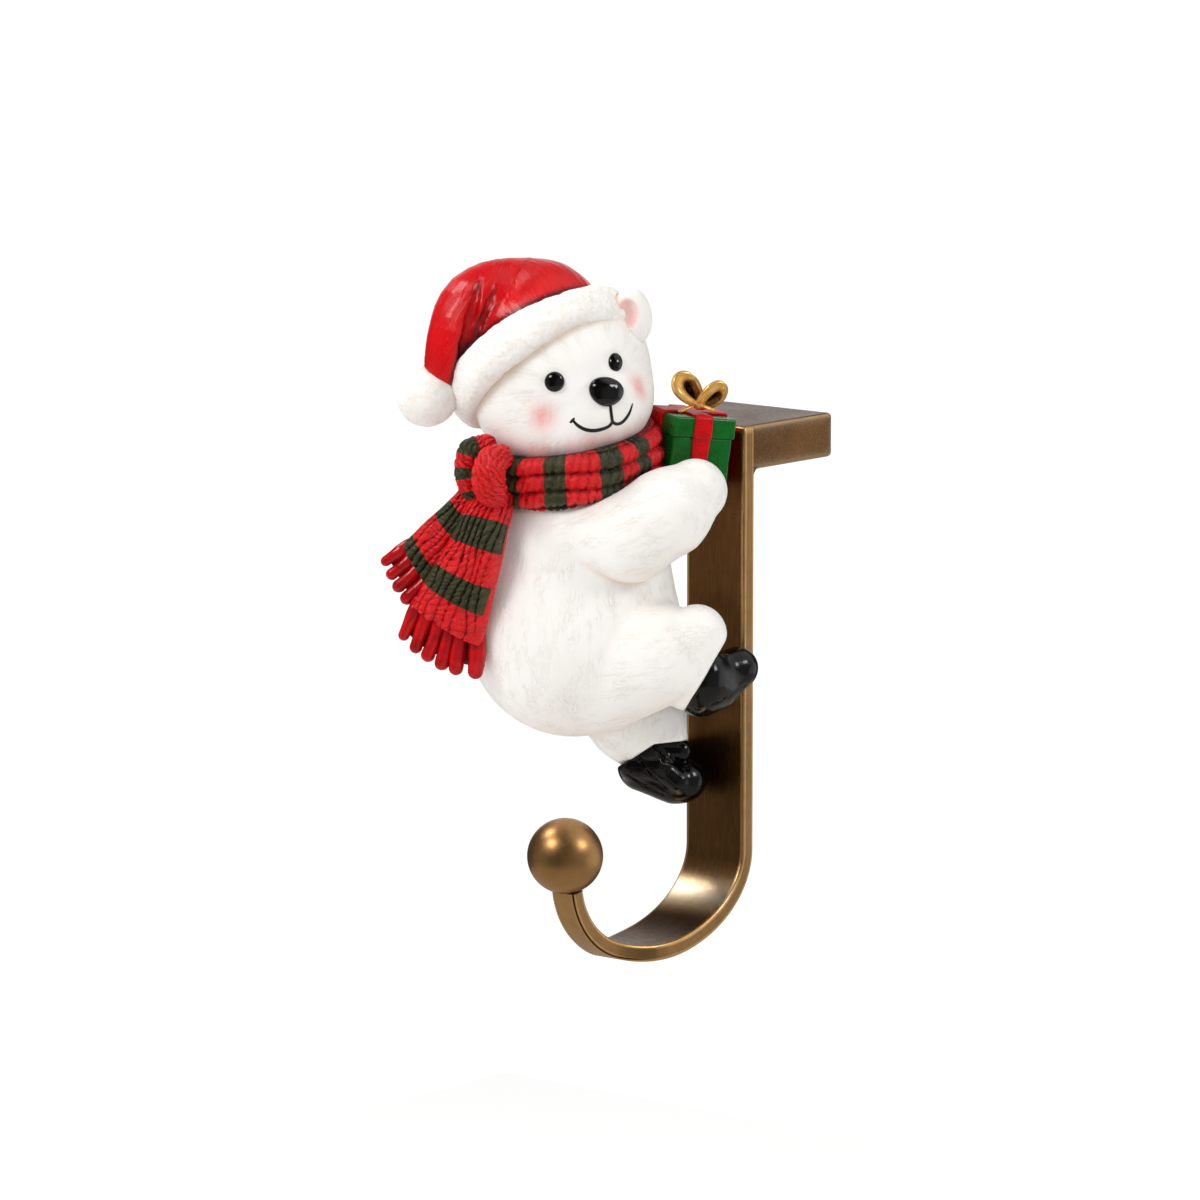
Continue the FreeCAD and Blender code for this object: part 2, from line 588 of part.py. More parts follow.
masses.append(tail("front_tail", [
    ((-17.0, -80.8, 0.5), (0.95, 0, -0.05), 4.5, 8.0),
    ((-20.2, -82.3, -18.0), (0.90, 0, -0.40), 8.2, 5.5),
    ((-25.0, -80.9, -36.5), (0.86, 0, -0.45), 10.4, 5.5),
    ((-29.0, -83.0, -50.5), (0.88, 0, -0.42), 11.4, 5.0)]))
masses.append(tail("back_tail", [
    ((-24.2, -77.0, 1.5), (0.85, 0, -0.5), 5.0, 8.0),
    ((-32.9, -81.0, -10.4), (0.70, 0, -0.70), 7.0, 5.5),
    ((-41.0, -86.0, -22.2), (0.55, 0, -0.80), 7.8, 5.0),
    ((-46.2, -88.8, -28.0), (0.50, 0, -0.85), 8.4, 4.5)]))
doc.recompute()

fused = doc.addObject("Part::MultiFuse", "figure_masses")
fused.Shapes = masses
doc.recompute()

# flats where the figure seats on the strap's front face, and two pilot holes
seat_box = doc.addObject("Part::Box", "strap_side")
seat_box.Length, seat_box.Width, seat_box.Height = 80.0, 20.0, 160.0
seat_box.Placement = Placement(Vector(OX - 40.0, OY, OZ - 130.0), Rotation())
pilots = []
for i, zz in enumerate((g("screw_up"), g("screw_low"))):
    ph = doc.addObject("Part::Cylinder", "pilot_%d" % i)
    ph.Radius = dr + g("screw_clear")
    ph.setExpression("Radius", "dims.screw_dia / 2 + dims.screw_clear")
    ph.Height = g("screw_grip") + 1.0
    ph.setExpression("Height", "dims.screw_grip + 1")
    ph.Placement = Placement(Vector(OX + sx, OY + 0.5, OZ - zz), Rotation(Vector(1, 0, 0), 90))
    pilots.append(ph)
tools = doc.addObject("Part::MultiFuse", "figure_cuts")
tools.Shapes = [seat_box] + pilots
figure = doc.addObject("Part::Cut", "bear_figure")
figure.Base = fused
figure.Tool = tools
figure.Label = "bear_figure"
doc.recompute()

# ------------------------------------------------------------------- output
out = {"hook_bracket": bracket, "grip_pad": pad, "ball_finial": ball, "fixing_screws": pair, "bear_figure": figure}
bad = [o.Name for o in doc.Objects if "Invalid" in o.State or "Error" in o.State]
if bad:
    raise RuntimeError("failed objects: " + ", ".join(bad))
for name, ob in out.items():
    sh = ob.Shape
    if ob.Label != name or sh.isNull() or not sh.isValid() or not sh.Solids:
        raise RuntimeError("bad shape: " + name)
    bb = sh.optimalBoundingBox()
    print(name, "solids", len(sh.Solids), "volume", round(sh.Volume, 1), "box", [round(v, 1) for v in (bb.XMin, bb.YMin, bb.ZMin, bb.XMax, bb.YMax, bb.ZMax)])
os.makedirs("parts", exist_ok=True)
for name, ob in out.items():
    ob.Shape.exportStep("parts/%s.step" % name)
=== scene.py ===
import bpy, bmesh, math
import numpy as np
from mathutils import Vector, Matrix


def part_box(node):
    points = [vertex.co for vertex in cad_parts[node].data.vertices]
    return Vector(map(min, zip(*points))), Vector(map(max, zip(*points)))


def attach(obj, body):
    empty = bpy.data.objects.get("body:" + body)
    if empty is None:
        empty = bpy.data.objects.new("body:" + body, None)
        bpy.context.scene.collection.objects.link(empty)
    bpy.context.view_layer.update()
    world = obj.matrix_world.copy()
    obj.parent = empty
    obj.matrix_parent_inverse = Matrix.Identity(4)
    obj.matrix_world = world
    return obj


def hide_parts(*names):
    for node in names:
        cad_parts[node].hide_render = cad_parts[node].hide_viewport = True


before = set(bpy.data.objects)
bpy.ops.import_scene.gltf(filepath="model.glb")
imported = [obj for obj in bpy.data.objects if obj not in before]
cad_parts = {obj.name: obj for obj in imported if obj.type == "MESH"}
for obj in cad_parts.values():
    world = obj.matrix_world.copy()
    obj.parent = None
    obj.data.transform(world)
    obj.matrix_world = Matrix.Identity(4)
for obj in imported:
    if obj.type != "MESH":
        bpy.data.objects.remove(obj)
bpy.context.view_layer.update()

# --------------------------------------------------------------- view and axes
# The figure is modelled in its own axes, in mm: u across the picture, d away
# from the viewer, z up. They are turned 40 degrees about Z against the strap.
AZ, EL, DIST, K = math.radians(40.0), math.radians(9.11), 7520.0, 0.2663
CA, SA, CE, SE = math.cos(AZ), math.sin(AZ), math.cos(EL), math.sin(EL)
RIGHT = np.array([CA, SA, 0.0])
UP = np.array([-SA * SE, CA * SE, CE])
BACK = np.array([SA * CE, -CA * CE, SE])
SHX, SHY = 115.3, 176.27
lo_b, hi_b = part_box("hook_bracket")
# strap middle, strap front face and plate top in the row frame
OFF = np.array([hi_b.x * 1000 - 10.0, hi_b.y * 1000 - 38.0, hi_b.z * 1000])
TILT = 4.4


def W(P):
    """figure axes in mm -> row frame in metres"""
    P = np.asarray(P, float)
    return (np.stack([P[..., 0] * CA - P[..., 1] * SA, P[..., 0] * SA + P[..., 1] * CA, P[..., 2]], -1) + OFF) / 1000.0


def C(P):
    """casting axes in mm (strap middle, front face, plate top) -> row frame in metres"""
    return (np.asarray(P, float) + OFF) / 1000.0


def q(ix, iy, d):
    """a place in the 1200 frame at depth d (px) -> figure axes in mm"""
    ix, iy, d = (np.asarray(v, float) for v in (ix, iy, d))
    ix, iy, d = np.broadcast_arrays(ix, iy, d)
    u = ix - 715.3
    z = (423.73 - iy - d * SE) / CE
    for _ in range(5):
        X, Y = u * CA - d * SA, u * SA + d * CA
        P = np.stack([X, Y, z], -1)
        s = DIST / (DIST - P @ BACK)
        px = 600 + (P @ RIGHT + SHX) * s
        py = 600 - (P @ UP + SHY) * s
        u = u + ix - px
        z = z + (py - iy) / CE
    return np.stack([u, d, z], -1) * K


def lin(r, g, b):
    out = []
    for c in (r, g, b):
        c = c / 255.0
        out.append(c / 12.92 if c <= 0.04045 else ((c + 0.055) / 1.055) ** 2.4)
    return (*out, 1.0)


# --------------------------------------------------------------------- camera
cam_d = bpy.data.cameras.new("view_camera")
cam_d.sensor_width = 36.0
cam_d.lens = 36.0 * DIST / 1200.0
cam_d.clip_start, cam_d.clip_end = 0.05, 50.0
cam = bpy.data.objects.new("view_camera", cam_d)
bpy.context.scene.collection.objects.link(cam)
loc = (DIST * BACK - SHX * RIGHT - SHY * UP) * K
cam.matrix_world = Matrix(((RIGHT[0], UP[0], BACK[0], (loc[0] + OFF[0]) / 1000),
                           (RIGHT[1], UP[1], BACK[1], (loc[1] + OFF[1]) / 1000),
                           (RIGHT[2], UP[2], BACK[2], (loc[2] + OFF[2]) / 1000), (0, 0, 0, 1)))
bpy.context.scene.camera = cam


# ---------------------------------------------------------------------- noise
def _h(n):
    n = n.astype(np.uint32)
    n ^= n >> np.uint32(16)
    n *= np.uint32(0x7FEB352D)
    n ^= n >> np.uint32(15)
    n *= np.uint32(0x846CA68B)
    n ^= n >> np.uint32(16)
    return (n & np.uint32(0xFFFFFF)).astype(np.float64) / 16777215.0


def vn2(x, y, seed=0):
    xi, yi = np.floor(x), np.floor(y)
    fx, fy = x - xi, y - yi
    fx, fy = fx * fx * (3 - 2 * fx), fy * fy * (3 - 2 * fy)
    xi, yi = xi.astype(np.int64), yi.astype(np.int64)

    def k(a, b):
        return _h(((a * 73856093) ^ (b * 19349663) ^ (seed * 83492791)) & 0xFFFFFFFF)
    return (k(xi, yi) * (1 - fx) + k(xi + 1, yi) * fx) * (1 - fy) + (k(xi, yi + 1) * (1 - fx) + k(xi + 1, yi + 1) * fx) * fy


def vn3(P, seed=0):
    i = np.floor(P)
    f = P - i
    f = f * f * (3 - 2 * f)
    i = i.astype(np.int64)
    out = 0.0
    for a in (0, 1):
        for b in (0, 1):
            for c in (0, 1):
                w = (f[..., 0] if a else 1 - f[..., 0]) * (f[..., 1] if b else 1 - f[..., 1]) * (f[..., 2] if c else 1 - f[..., 2])
                key = ((i[..., 0] + a) * 73856093) ^ ((i[..., 1] + b) * 19349663) ^ ((i[..., 2] + c) * 83492791) ^ (seed * 2654435)
                out = out + w * _h(key & 0xFFFFFFFF)
    return out


# ------------------------------------------------------------- distance shapes
def ell(P, c, r, rot=None):
    p = P - np.asarray(c)
    if rot is not None:
        p = p @ np.asarray(rot)
    r = np.asarray(r)
    a = np.sqrt(((p / r) ** 2).sum(-1))
    b = np.sqrt(((p / (r * r)) ** 2).sum(-1))
    return a * (a - 1.0) / np.maximum(b, 1e-6)


def cap(P, a, b, ra, rb):
    a, b = np.asarray(a), np.asarray(b)
    ab = b - a
    t = np.clip(((P - a) @ ab) / (ab @ ab), 0, 1)
    return np.sqrt(((P - a - t[..., None] * ab) ** 2).sum(-1)) - (ra + (rb - ra) * t)


def smin(a, b, k):
    h = np.clip(0.5 + 0.5 * (b - a) / k, 0, 1)
    return b + (a - b) * h - k * h * (1 - h)


def smax(a, b, k):
    return -smin(-a, -b, k)


def roll(deg):
    """turn in the picture plane, anticlockwise as seen by the viewer"""
    a = math.radians(deg)
    return np.array([[math.cos(a), 0, -math.sin(a)], [0, 1, 0], [math.sin(a), 0, math.cos(a)]])


def nets(fn, lo, hi, step):
    """closed quad mesh of fn = 0 inside the box"""
    lo, hi = np.asarray(lo, float), np.asarray(hi, float)
    n = np.ceil((hi - lo) / step).astype(int) + 1
    ax = [lo[i] + step * np.arange(n[i]) for i in range(3)]
    f = np.empty(tuple(n), np.float32)
    slab = max(1, int(400000 // (n[1] * n[2])))
    for i in range(0, n[0], slab):
        X, Y, Z = np.meshgrid(ax[0][i:i + slab], ax[1], ax[2], indexing="ij")
        f[i:i + slab] = fn(np.stack([X, Y, Z], -1).astype(np.float32))
    ins = f < 0
    cnt = np.zeros(tuple(n - 1), np.uint8)
    for a in (0, 1):
        for b in (0, 1):
            for c in (0, 1):
                cnt += ins[a:n[0] - 1 + a, b:n[1] - 1 + b, c:n[2] - 1 + c]
    act = (cnt > 0) & (cnt < 8)
    idx = -np.ones(act.shape, np.int64)
    I, J, L = np.nonzero(act)
    idx[I, J, L] = np.arange(len(I))
    acc = np.zeros((len(I), 3))
    num = np.zeros(len(I))
    corner = [(a, b, c) for a in (0, 1) for b in (0, 1) for c in (0, 1)]
    for p in corner:
        for ax_i in range(3):
            if p[ax_i]:
                continue
            r = list(p)
            r[ax_i] = 1
            fa = f[I + p[0], J + p[1], L + p[2]].astype(float)
            fb = f[I + r[0], J + r[1], L + r[2]].astype(float)
            m = (fa < 0) != (fb < 0)
            t = np.where(m, fa / np.where(m, fa - fb, 1), 0)
            for j in range(3):
                acc[:, j] += np.where(m, p[j] + (t if j == ax_i else 0), 0)
            num += m
    V = lo + step * (np.stack([I, J, L], -1) + acc / num[:, None])
    faces = []
    for ax_i in range(3):
        o = [1, 2] if ax_i == 0 else ([2, 0] if ax_i == 1 else [0, 1])
        sl_a = [slice(1, -1)] * 3
        sl_b = [slice(1, -1)] * 3
        sl_a[ax_i], sl_b[ax_i] = slice(0, -1), slice(1, None)
        A, B = ins[tuple(sl_a)], ins[tuple(sl_b)]
        e = np.nonzero(A != B)
        fl = A[e]
        base = [e[j] + (0 if j == ax_i else 1) for j in range(3)]
        quad = []
        for da, db in ((-1, -1), (0, -1), (0, 0), (-1, 0)):
            c = [base[0].copy(), base[1].copy(), base[2].copy()]
            c[o[0]] = c[o[0]] + da
            c[o[1]] = c[o[1]] + db
            quad.append(idx[c[0], c[1], c[2]])
        qd = np.stack(quad, -1)
        qd[~fl] = qd[~fl][:, ::-1]
        faces.append(qd)
    return V, np.concatenate(faces)


def grad(fn, V, e=0.15):
    g = np.empty_like(V)
    for j in range(3):
        d = np.zeros(3)
        d[j] = e
        g[:, j] = (fn(V + d) - fn(V - d)) / (2 * e)
    return g


def settle(fn, V, n=2):
    for _ in range(n):
        g = grad(fn, V)
        V = V - (fn(V) / np.maximum((g * g).sum(-1), 0.05))[:, None] * g
    g = grad(fn, V)
    return V, g / np.maximum(np.linalg.norm(g, axis=1, keepdims=True), 1e-9)


# ------------------------------------------------------------------ mesh build
MADE = []


def make(name, V, F, mat, node="bear_figure", attrs=None, smooth=True, conv=W):
    V = conv(V)
    me = bpy.data.meshes.new(name)
    F = np.asarray(F)
    me.vertices.add(len(V))
    me.vertices.foreach_set("co", np.asarray(V, np.float32).ravel())
    k = F.shape[1]
    me.loops.add(F.size)
    me.loops.foreach_set("vertex_index", F.astype(np.int32).ravel())
    me.polygons.add(len(F))
    me.polygons.foreach_set("loop_start", np.arange(0, F.size, k, dtype=np.int32))
    me.polygons.foreach_set("use_smooth", np.full(len(F), smooth, bool))
    me.update(calc_edges=True)
    me.validate(clean_customdata=False)
    for key, val in (attrs or {}).items():
        val = np.asarray(val, np.float32)
        if val.ndim == 1:
            at = me.attributes.new(key, "FLOAT", "POINT")
            at.data.foreach_set("value", val)
        else:
            at = me.attributes.new(key, "FLOAT_VECTOR", "POINT")
            at.data.foreach_set("vector", val.ravel())
    me.materials.append(mat)
    ob = bpy.data.objects.new(name, me)
    bpy.context.scene.collection.objects.link(ob)
    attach(ob, "root")
    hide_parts(node)
    MADE.append(ob)
    return ob


def vnormals(V, F):
    N = np.zeros_like(V)
    a, b, c, d = (V[F[:, i]] for i in range(4))
    n = np.cross(c - a, d - b)
    for i in range(4):
        np.add.at(N, F[:, i], n)
    return N / np.maximum(np.linalg.norm(N, axis=1, keepdims=True), 1e-12)


def grid_faces(nu, nv, wrap_u, wrap_v, off=0, flip=False):
    iu = np.arange(nu if wrap_u else nu - 1)
    iv = np.arange(nv if wrap_v else nv - 1)
    A, B = np.meshgrid(iu, iv, indexing="ij")
    A2, B2 = (A + 1) % nu, (B + 1) % nv
    F = np.stack([A * nv + B, A2 * nv + B, A2 * nv + B2, A * nv + B2], -1).reshape(-1, 4) + off
    return F[:, ::-1] if flip else F


def smooth_path(pts, n, closed=False):
    """even Catmull-Rom samples through points"""
    P = np.asarray(pts, float)
    m = len(P)
    if closed:
        E = np.vstack([P[-1:], P, P[:2]])
        segs = m
    else:
        E = np.vstack([2 * P[0] - P[1], P, 2 * P[-1] - P[-2]])
        segs = m - 1
    out = []
    for i in range(segs):
        p0, p1, p2, p3 = E[i], E[i + 1], E[i + 2], E[i + 3]
        t = np.linspace(0, 1, 24, endpoint=False)[:, None]
        out.append(0.5 * (2 * p1 + (p2 - p0) * t + (2 * p0 - 5 * p1 + 4 * p2 - p3) * t ** 2 + (3 * p1 - p0 - 3 * p2 + p3) * t ** 3))
    D = np.vstack(out + ([P[:1]] if closed else [P[-1:]]))
    L = np.concatenate([[0], np.cumsum(np.linalg.norm(np.diff(D[:, :3], axis=0), axis=1))])
    s = np.linspace(0, L[-1], n, endpoint=not closed)
    return np.stack([np.interp(s, L, D[:, j]) for j in range(D.shape[1])], -1)


def tube(path, rad, m=20, ref=(0, -1, 0), flat=1.0, closed=False, dome=True):
    """tube along a path (n,3); rad (n,) ; flat squeezes it along ref"""
    P = np.asarray(path, float)
    n = len(P)
    rad = np.broadcast_to(np.asarray(rad, float), (n,)).copy()
    if closed:
        T = np.roll(P, -1, 0) - np.roll(P, 1, 0)
    else:
        T = np.gradient(P, axis=0)
    T /= np.linalg.norm(T, axis=1, keepdims=True)
    if not closed and dome:
        # round both ends
        ends = []
        for side in (0, -1):
            r = rad[side]
            a = np.linspace(0, math.pi / 2, 7)[1:]
            t = T[side] * (-1 if side == 0 else 1)
            pp = P[side] + np.outer(np.sin(a) * r, t)
            rr = r * np.cos(a)
            rr[-1] = r * 0.02
            tt = np.repeat(T[side][None], 6, 0)
            ends.append((pp, rr, tt))
        P = np.vstack([ends[0][0][::-1], P, ends[1][0]])
        rad = np.concatenate([ends[0][1][::-1], rad, ends[1][1]])
        T = np.vstack([ends[0][2], T, ends[1][2]])
        n = len(P)
    ref = np.asarray(ref, float)
    if ref.ndim == 1:
        ref = np.repeat(ref[None], n, 0)
    B1 = ref - (ref * T).sum(-1, keepdims=True) * T
    B1 /= np.linalg.norm(B1, axis=1, keepdims=True)
    B2 = np.cross(T, B1)
    a = np.linspace(0, 2 * math.pi, m, endpoint=False)
    V = P[:, None] + rad[:, None, None] * (B1[:, None] * (flat * np.cos(a))[None, :, None] + B2[:, None] * np.sin(a)[None, :, None])
    V = V.reshape(-1, 3)
    F = grid_faces(n, m, closed, True, flip=True)
    if not closed:
        c0, c1 = len(V), len(V) + 1
        V = np.vstack([V, V[:m].mean(0), V[-1 - m + 1:].mean(0)])
        j = np.arange(m)
        j2 = (j + 1) % m
        F = np.vstack([F, np.stack([np.full(m, c0), j, j2, np.full(m, c0)], -1)[:0]])
        tri0 = np.stack([np.full(m, c0), j2, j], -1)
        tri1 = np.stack([np.full(m, c1), (n - 1) * m + j, (n - 1) * m + j2], -1)
        return V, F, np.vstack([tri0, tri1])
    return V, F, np.zeros((0, 3), int)


def make_mixed(name, V, F4, F3, mat, **kw):
    """quads and triangles in one mesh"""
    attrs = kw.pop("attrs", None)
    conv = kw.pop("conv", W)
    node, slot = kw.pop("node", "bear_figure"), kw.pop("slot", "painted_resin")
    me = bpy.data.meshes.new(name)
    Vw = conv(V)
    me.vertices.add(len(Vw))
    me.vertices.foreach_set("co", np.asarray(Vw, np.float32).ravel())
    loops = np.concatenate([F4.ravel(), F3.ravel()]).astype(np.int32)
    starts = np.concatenate([np.arange(len(F4)) * 4, len(F4) * 4 + np.arange(len(F3)) * 3]).astype(np.int32)
    me.loops.add(len(loops))
    me.loops.foreach_set("vertex_index", loops)
    me.polygons.add(len(starts))
    me.polygons.foreach_set("loop_start", starts)
    me.polygons.foreach_set("use_smooth", np.full(len(starts), True, bool))
    me.update(calc_edges=True)
    me.validate(clean_customdata=False)
    for key, val in (attrs or {}).items():
        val = np.asarray(val, np.float32)
        at = me.attributes.new(key, "FLOAT" if val.ndim == 1 else "FLOAT_VECTOR", "POINT")
        at.data.foreach_set("value" if val.ndim == 1 else "vector", val.ravel())
    me.materials.append(mat)
    ob = bpy.data.objects.new(name, me)
    bpy.context.scene.collection.objects.link(ob)
    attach(ob, "root")
    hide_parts(node)
    MADE.append(ob)
    return ob


# ------------------------------------------------------------------- materials
class Mat:
    def __init__(self, name):
        self.m = bpy.data.materials.new(name)
        self.m.use_nodes = True
        self.t = self.m.node_tree
        self.t.nodes.clear()
        self.out = self.t.nodes.new("ShaderNodeOutputMaterial")
        self.b = self.t.nodes.new("ShaderNodeBsdfPrincipled")
        self.t.links.new(self.b.outputs[0], self.out.inputs[0])

    def set(self, **kw):
        for k, v in kw.items():
            self.b.inputs[k.replace("_", " ")].default_value = v
        return self

    def n(self, kind, **kw):
        nd = self.t.nodes.new("ShaderNode" + kind)
        for k, v in kw.items():
            setattr(nd, k, v)
        return nd

    def put(self, node, sock, val):
        s = node.inputs[sock]
        if isinstance(val, bpy.types.NodeSocket):
            self.t.links.new(val, s)
        else:
            s.default_value = val

    def attr(self, name, vec=False):
        a = self.n("Attribute", attribute_name=name)
        return a.outputs["Vector" if vec else "Fac"]

    def obj(self):
        return self.n("TexCoord").outputs["Object"]

    def scale(self, vec, s):
        nd = self.n("Mapping")
        self.put(nd, "Vector", vec)
        nd.inputs["Scale"].default_value = s
        return nd.outputs[0]

    def noise(self, vec, scale=5.0, detail=3.0, rough=0.5, dist=0.0):
        nd = self.n("TexNoise")
        self.put(nd, "Vector", vec)
        nd.inputs["Scale"].default_value = scale
        nd.inputs["Detail"].default_value = detail
        nd.inputs["Roughness"].default_value = rough
        nd.inputs["Distortion"].default_value = dist
        return nd.outputs["Fac"]

    def math(self, op, a, b=0.0, c=0.0, clamp=False):
        nd = self.n("Math", operation=op, use_clamp=clamp)
        self.put(nd, 0, a)
        self.put(nd, 1, b)
        if op in ("MULTIPLY_ADD", "SMOOTH_MIN", "SMOOTH_MAX", "WRAP"):
            self.put(nd, 2, c)
        return nd.outputs[0]

    def ramp(self, fac, a, b, lo=0.0, hi=1.0, smooth=True):
        nd = self.n("MapRange", interpolation_type="SMOOTHSTEP" if smooth else "LINEAR")
        self.put(nd, "Value", fac)
        self.put(nd, "From Min", a)
        self.put(nd, "From Max", b)
        self.put(nd, "To Min", lo)
        self.put(nd, "To Max", hi)
        return nd.outputs[0]

    def mix(self, fac, a, b, blend="MIX"):
        nd = self.n("Mix", data_type="RGBA", blend_type=blend)
        nd.clamp_factor = True
        self.put(nd, 0, fac)
        self.put(nd, 6, a)
        self.put(nd, 7, b)
        return nd.outputs[2]

    def bump(self, h, dist, strength=1.0, normal=None):
        nd = self.n("Bump")
        nd.inputs["Strength"].default_value = strength
        nd.inputs["Distance"].default_value = dist
        self.put(nd, "Height", h)
        if normal is not None:
            self.put(nd, "Normal", normal)
        return nd.outputs[0]

    def link(self, sock, val):
        self.put(self.b, sock, val)


def row_dir(v):
    v = np.asarray(v, float)
    v = np.array([v[0] * CA - v[1] * SA, v[0] * SA + v[1] * CA, v[2]])
    return v / np.linalg.norm(v)


def mat_white(name, dirs=()):
    """smooth white paint with hair lines drawn into it"""
    m = Mat(name)
    ob = m.obj()
    fade = m.attr("fade")

    def hairs(vec):
        a = m.noise(m.scale(vec, (0.80, 0.80, 0.13)), 1.0, 2.0, 0.5, 0.5)
        b = m.noise(m.scale(vec, (1.7, 1.7, 0.24)), 1.0, 1.0, 0.5, 0.4)
        mask = m.ramp(m.noise(m.scale(vec, (0.30, 0.30, 0.11)), 1.0, 2.0, 0.5), 0.42, 0.62, 0.10, 1.0)
        la = m.ramp(m.math("ABSOLUTE", m.math("SUBTRACT", a, 0.5)), 0.0, 0.045, 1.0, 0.0)
        lb = m.ramp(m.math("ABSOLUTE", m.math("SUBTRACT", b, 0.5)), 0.0, 0.050, 0.6, 0.0)
        return m.math("MULTIPLY", m.math("MAXIMUM", la, lb), mask), m.noise(m.scale(vec, (0.5, 0.5, 0.13)), 1.0, 3.0, 0.55, 0.6)

    if dirs:
        sets = []
        for t in dirs:
            t = row_dir(t)
            a_ = np.cross(t, (0.3, 0.9, 0.1) if abs(t[2]) > 0.7 else (0, 0, 1.0))
            a_ /= np.linalg.norm(a_)
            b_ = np.cross(t, a_)
            comb = m.n("CombineXYZ")
            for i, v in enumerate((a_, b_, t)):
                nd = m.n("VectorMath", operation="DOT_PRODUCT")
                m.put(nd, 0, ob)
                nd.inputs[1].default_value = tuple(v * 1000.0)
                m.put(comb, i, nd.outputs["Value"])
            sets.append(hairs(comb.outputs[0]))
        line, mid = sets[0]
        for (l2, m2), w in zip(sets[1:], ("wa", "wl")):
            wt_ = m.attr(w)
            line = m.math("ADD", m.math("MULTIPLY", line, m.math("SUBTRACT", 1.0, wt_)), m.math("MULTIPLY", l2, wt_))
            mid = m.math("ADD", m.math("MULTIPLY", mid, m.math("SUBTRACT", 1.0, wt_)), m.math("MULTIPLY", m2, wt_))
    else:
        vec = m.scale(m.attr("st", True), (1.0, 1.0, 1.0))
        sw = m.n("SeparateXYZ")
        m.put(sw, 0, vec)
        cb_ = m.n("CombineXYZ")
        m.put(cb_, 0, sw.outputs[0])
        m.put(cb_, 1, sw.outputs[2])
        m.put(cb_, 2, sw.outputs[1])
        line, mid = hairs(cb_.outputs[0])
    line = m.math("MULTIPLY", line, fade)
    cav = m.attr("cav")
    base = m.mix(m.ramp(m.noise(ob, 60.0, 2.0, 0.5), 0.35, 0.7), lin(252, 250, 246), lin(249, 246, 240))
    base = m.mix(m.math("MULTIPLY", line, 0.32 if dirs else 0.22), base, lin(202, 178, 150))
    # painted shade: cav darkens the white toward warm beige in creases, where parts meet, and on the body's undersides
    base = m.mix(m.ramp(cav, 0.12, 1.0, 0.0, 0.80), base, lin(222, 190, 162))
    # pink: painted cheek and ear blush, plus a painted pink glow on the chin standing in for light reflected up from
    # the red collar
    bl = m.attr("blush_and_red_bounce")
    pat = m.noise(m.scale(ob, (900.0, 900.0, 260.0)), 1.0, 3.0, 0.6)
    bl2 = m.math("MULTIPLY", bl, m.ramp(pat, 0.25, 0.7, 0.65, 1.0))
    base = m.mix(bl2, base, lin(240, 150, 146))
    m.link("Base Color", base)
    m.link("Roughness", m.ramp(mid, 0.2, 0.8, 0.40, 0.55))
    m.set(Subsurface_Weight=0.05, Subsurface_Scale=0.002, Specular_IOR_Level=0.30)
    m.b.inputs["Subsurface Radius"].default_value = (1.0, 0.6, 0.4)
    n1 = m.bump(m.math("MULTIPLY", mid, fade), 0.00035, 0.40)
    n2 = m.bump(m.math("MULTIPLY", line, -1.0), 0.00013 if dirs else 0.00008, 0.72, n1)
    n3 = m.bump(m.noise(ob, 2600.0, 2.0, 0.5), 0.00003, 0.4, n2)
    m.link("Normal", n3)
    return m.m


def mat_fuzzy():
    """sculpted fluffy trim: crumbs and small pits"""
    m = Mat("white_trim_paint")
    ob = m.obj()
    crumb = m.noise(ob, 780.0, 3.0, 0.62, 0.5)
    fine = m.noise(ob, 2000.0, 3.0, 0.6)
    big = m.noise(ob, 260.0, 3.0, 0.55, 0.4)
    pit = m.ramp(crumb, 0.34, 0.54, 1.0, 0.0)
    cav = m.attr("cav")
    base = m.mix(m.ramp(big, 0.35, 0.7), lin(252, 250, 246), lin(246, 242, 235))
    base = m.mix(m.math("MULTIPLY", pit, 0.24), base, lin(226, 208, 186))
    # painted shade: cav darkens the trim where it tucks against head, hat, ear and the hat's tip
    base = m.mix(m.ramp(cav, 0.20, 1.0, 0.0, 0.42), base, lin(218, 190, 164))
    m.link("Base Color", base)
    m.link("Roughness", m.ramp(fine, 0.3, 0.7, 0.5, 0.7))
    m.set(Subsurface_Weight=0.05, Subsurface_Scale=0.002, Specular_IOR_Level=0.25)
    m.b.inputs["Subsurface Radius"].default_value = (1.0, 0.6, 0.4)
    n1 = m.bump(big, 0.00060, 0.6)
    n2 = m.bump(crumb, 0.00050, 0.85, n1)
    n3 = m.bump(fine, 0.00010, 0.5, n2)
    m.link("Normal", n3)
    return m.m


def mat_hat():
    """thick glossy red enamel pulled along the folds by the brush"""
    m = Mat("red_hat_enamel")
    st = m.attr("st", True)
    ob = m.obj()
    brush = m.noise(m.scale(st, (1.25, 0.17, 1.0)), 1.0, 4.0, 0.6, 0.5)
    brush2 = m.noise(m.scale(st, (4.5, 0.4, 1.0)), 1.0, 3.0, 0.6, 0.2)
    big = m.noise(ob, 60.0, 3.0, 0.5)
    cav = m.attr("cav")
    c = m.mix(m.ramp(big, 0.3, 0.7), lin(222, 1, 12), lin(200, 1, 8))
    c = m.mix(m.ramp(brush, 0.45, 0.75, 0.0, 0.45), c, lin(156, 1, 8))
    # painted shade: cav darkens the red in the folds and where the crown meets the brim
    c = m.mix(m.ramp(cav, 0.05, 0.8, 0.0, 0.9), c, lin(70, 0, 4))
    m.link("Base Color", c)
    m.link("Roughness", m.ramp(brush2, 0.3, 0.75, 0.12, 0.24))
    m.set(Coat_Weight=0.20, Coat_Roughness=0.07, Specular_IOR_Level=0.34)
    n1 = m.bump(brush, 0.00045, 0.8)
    n2 = m.bump(brush2, 0.00016, 0.7, n1)
    m.link("Normal", n2)
    return m.m


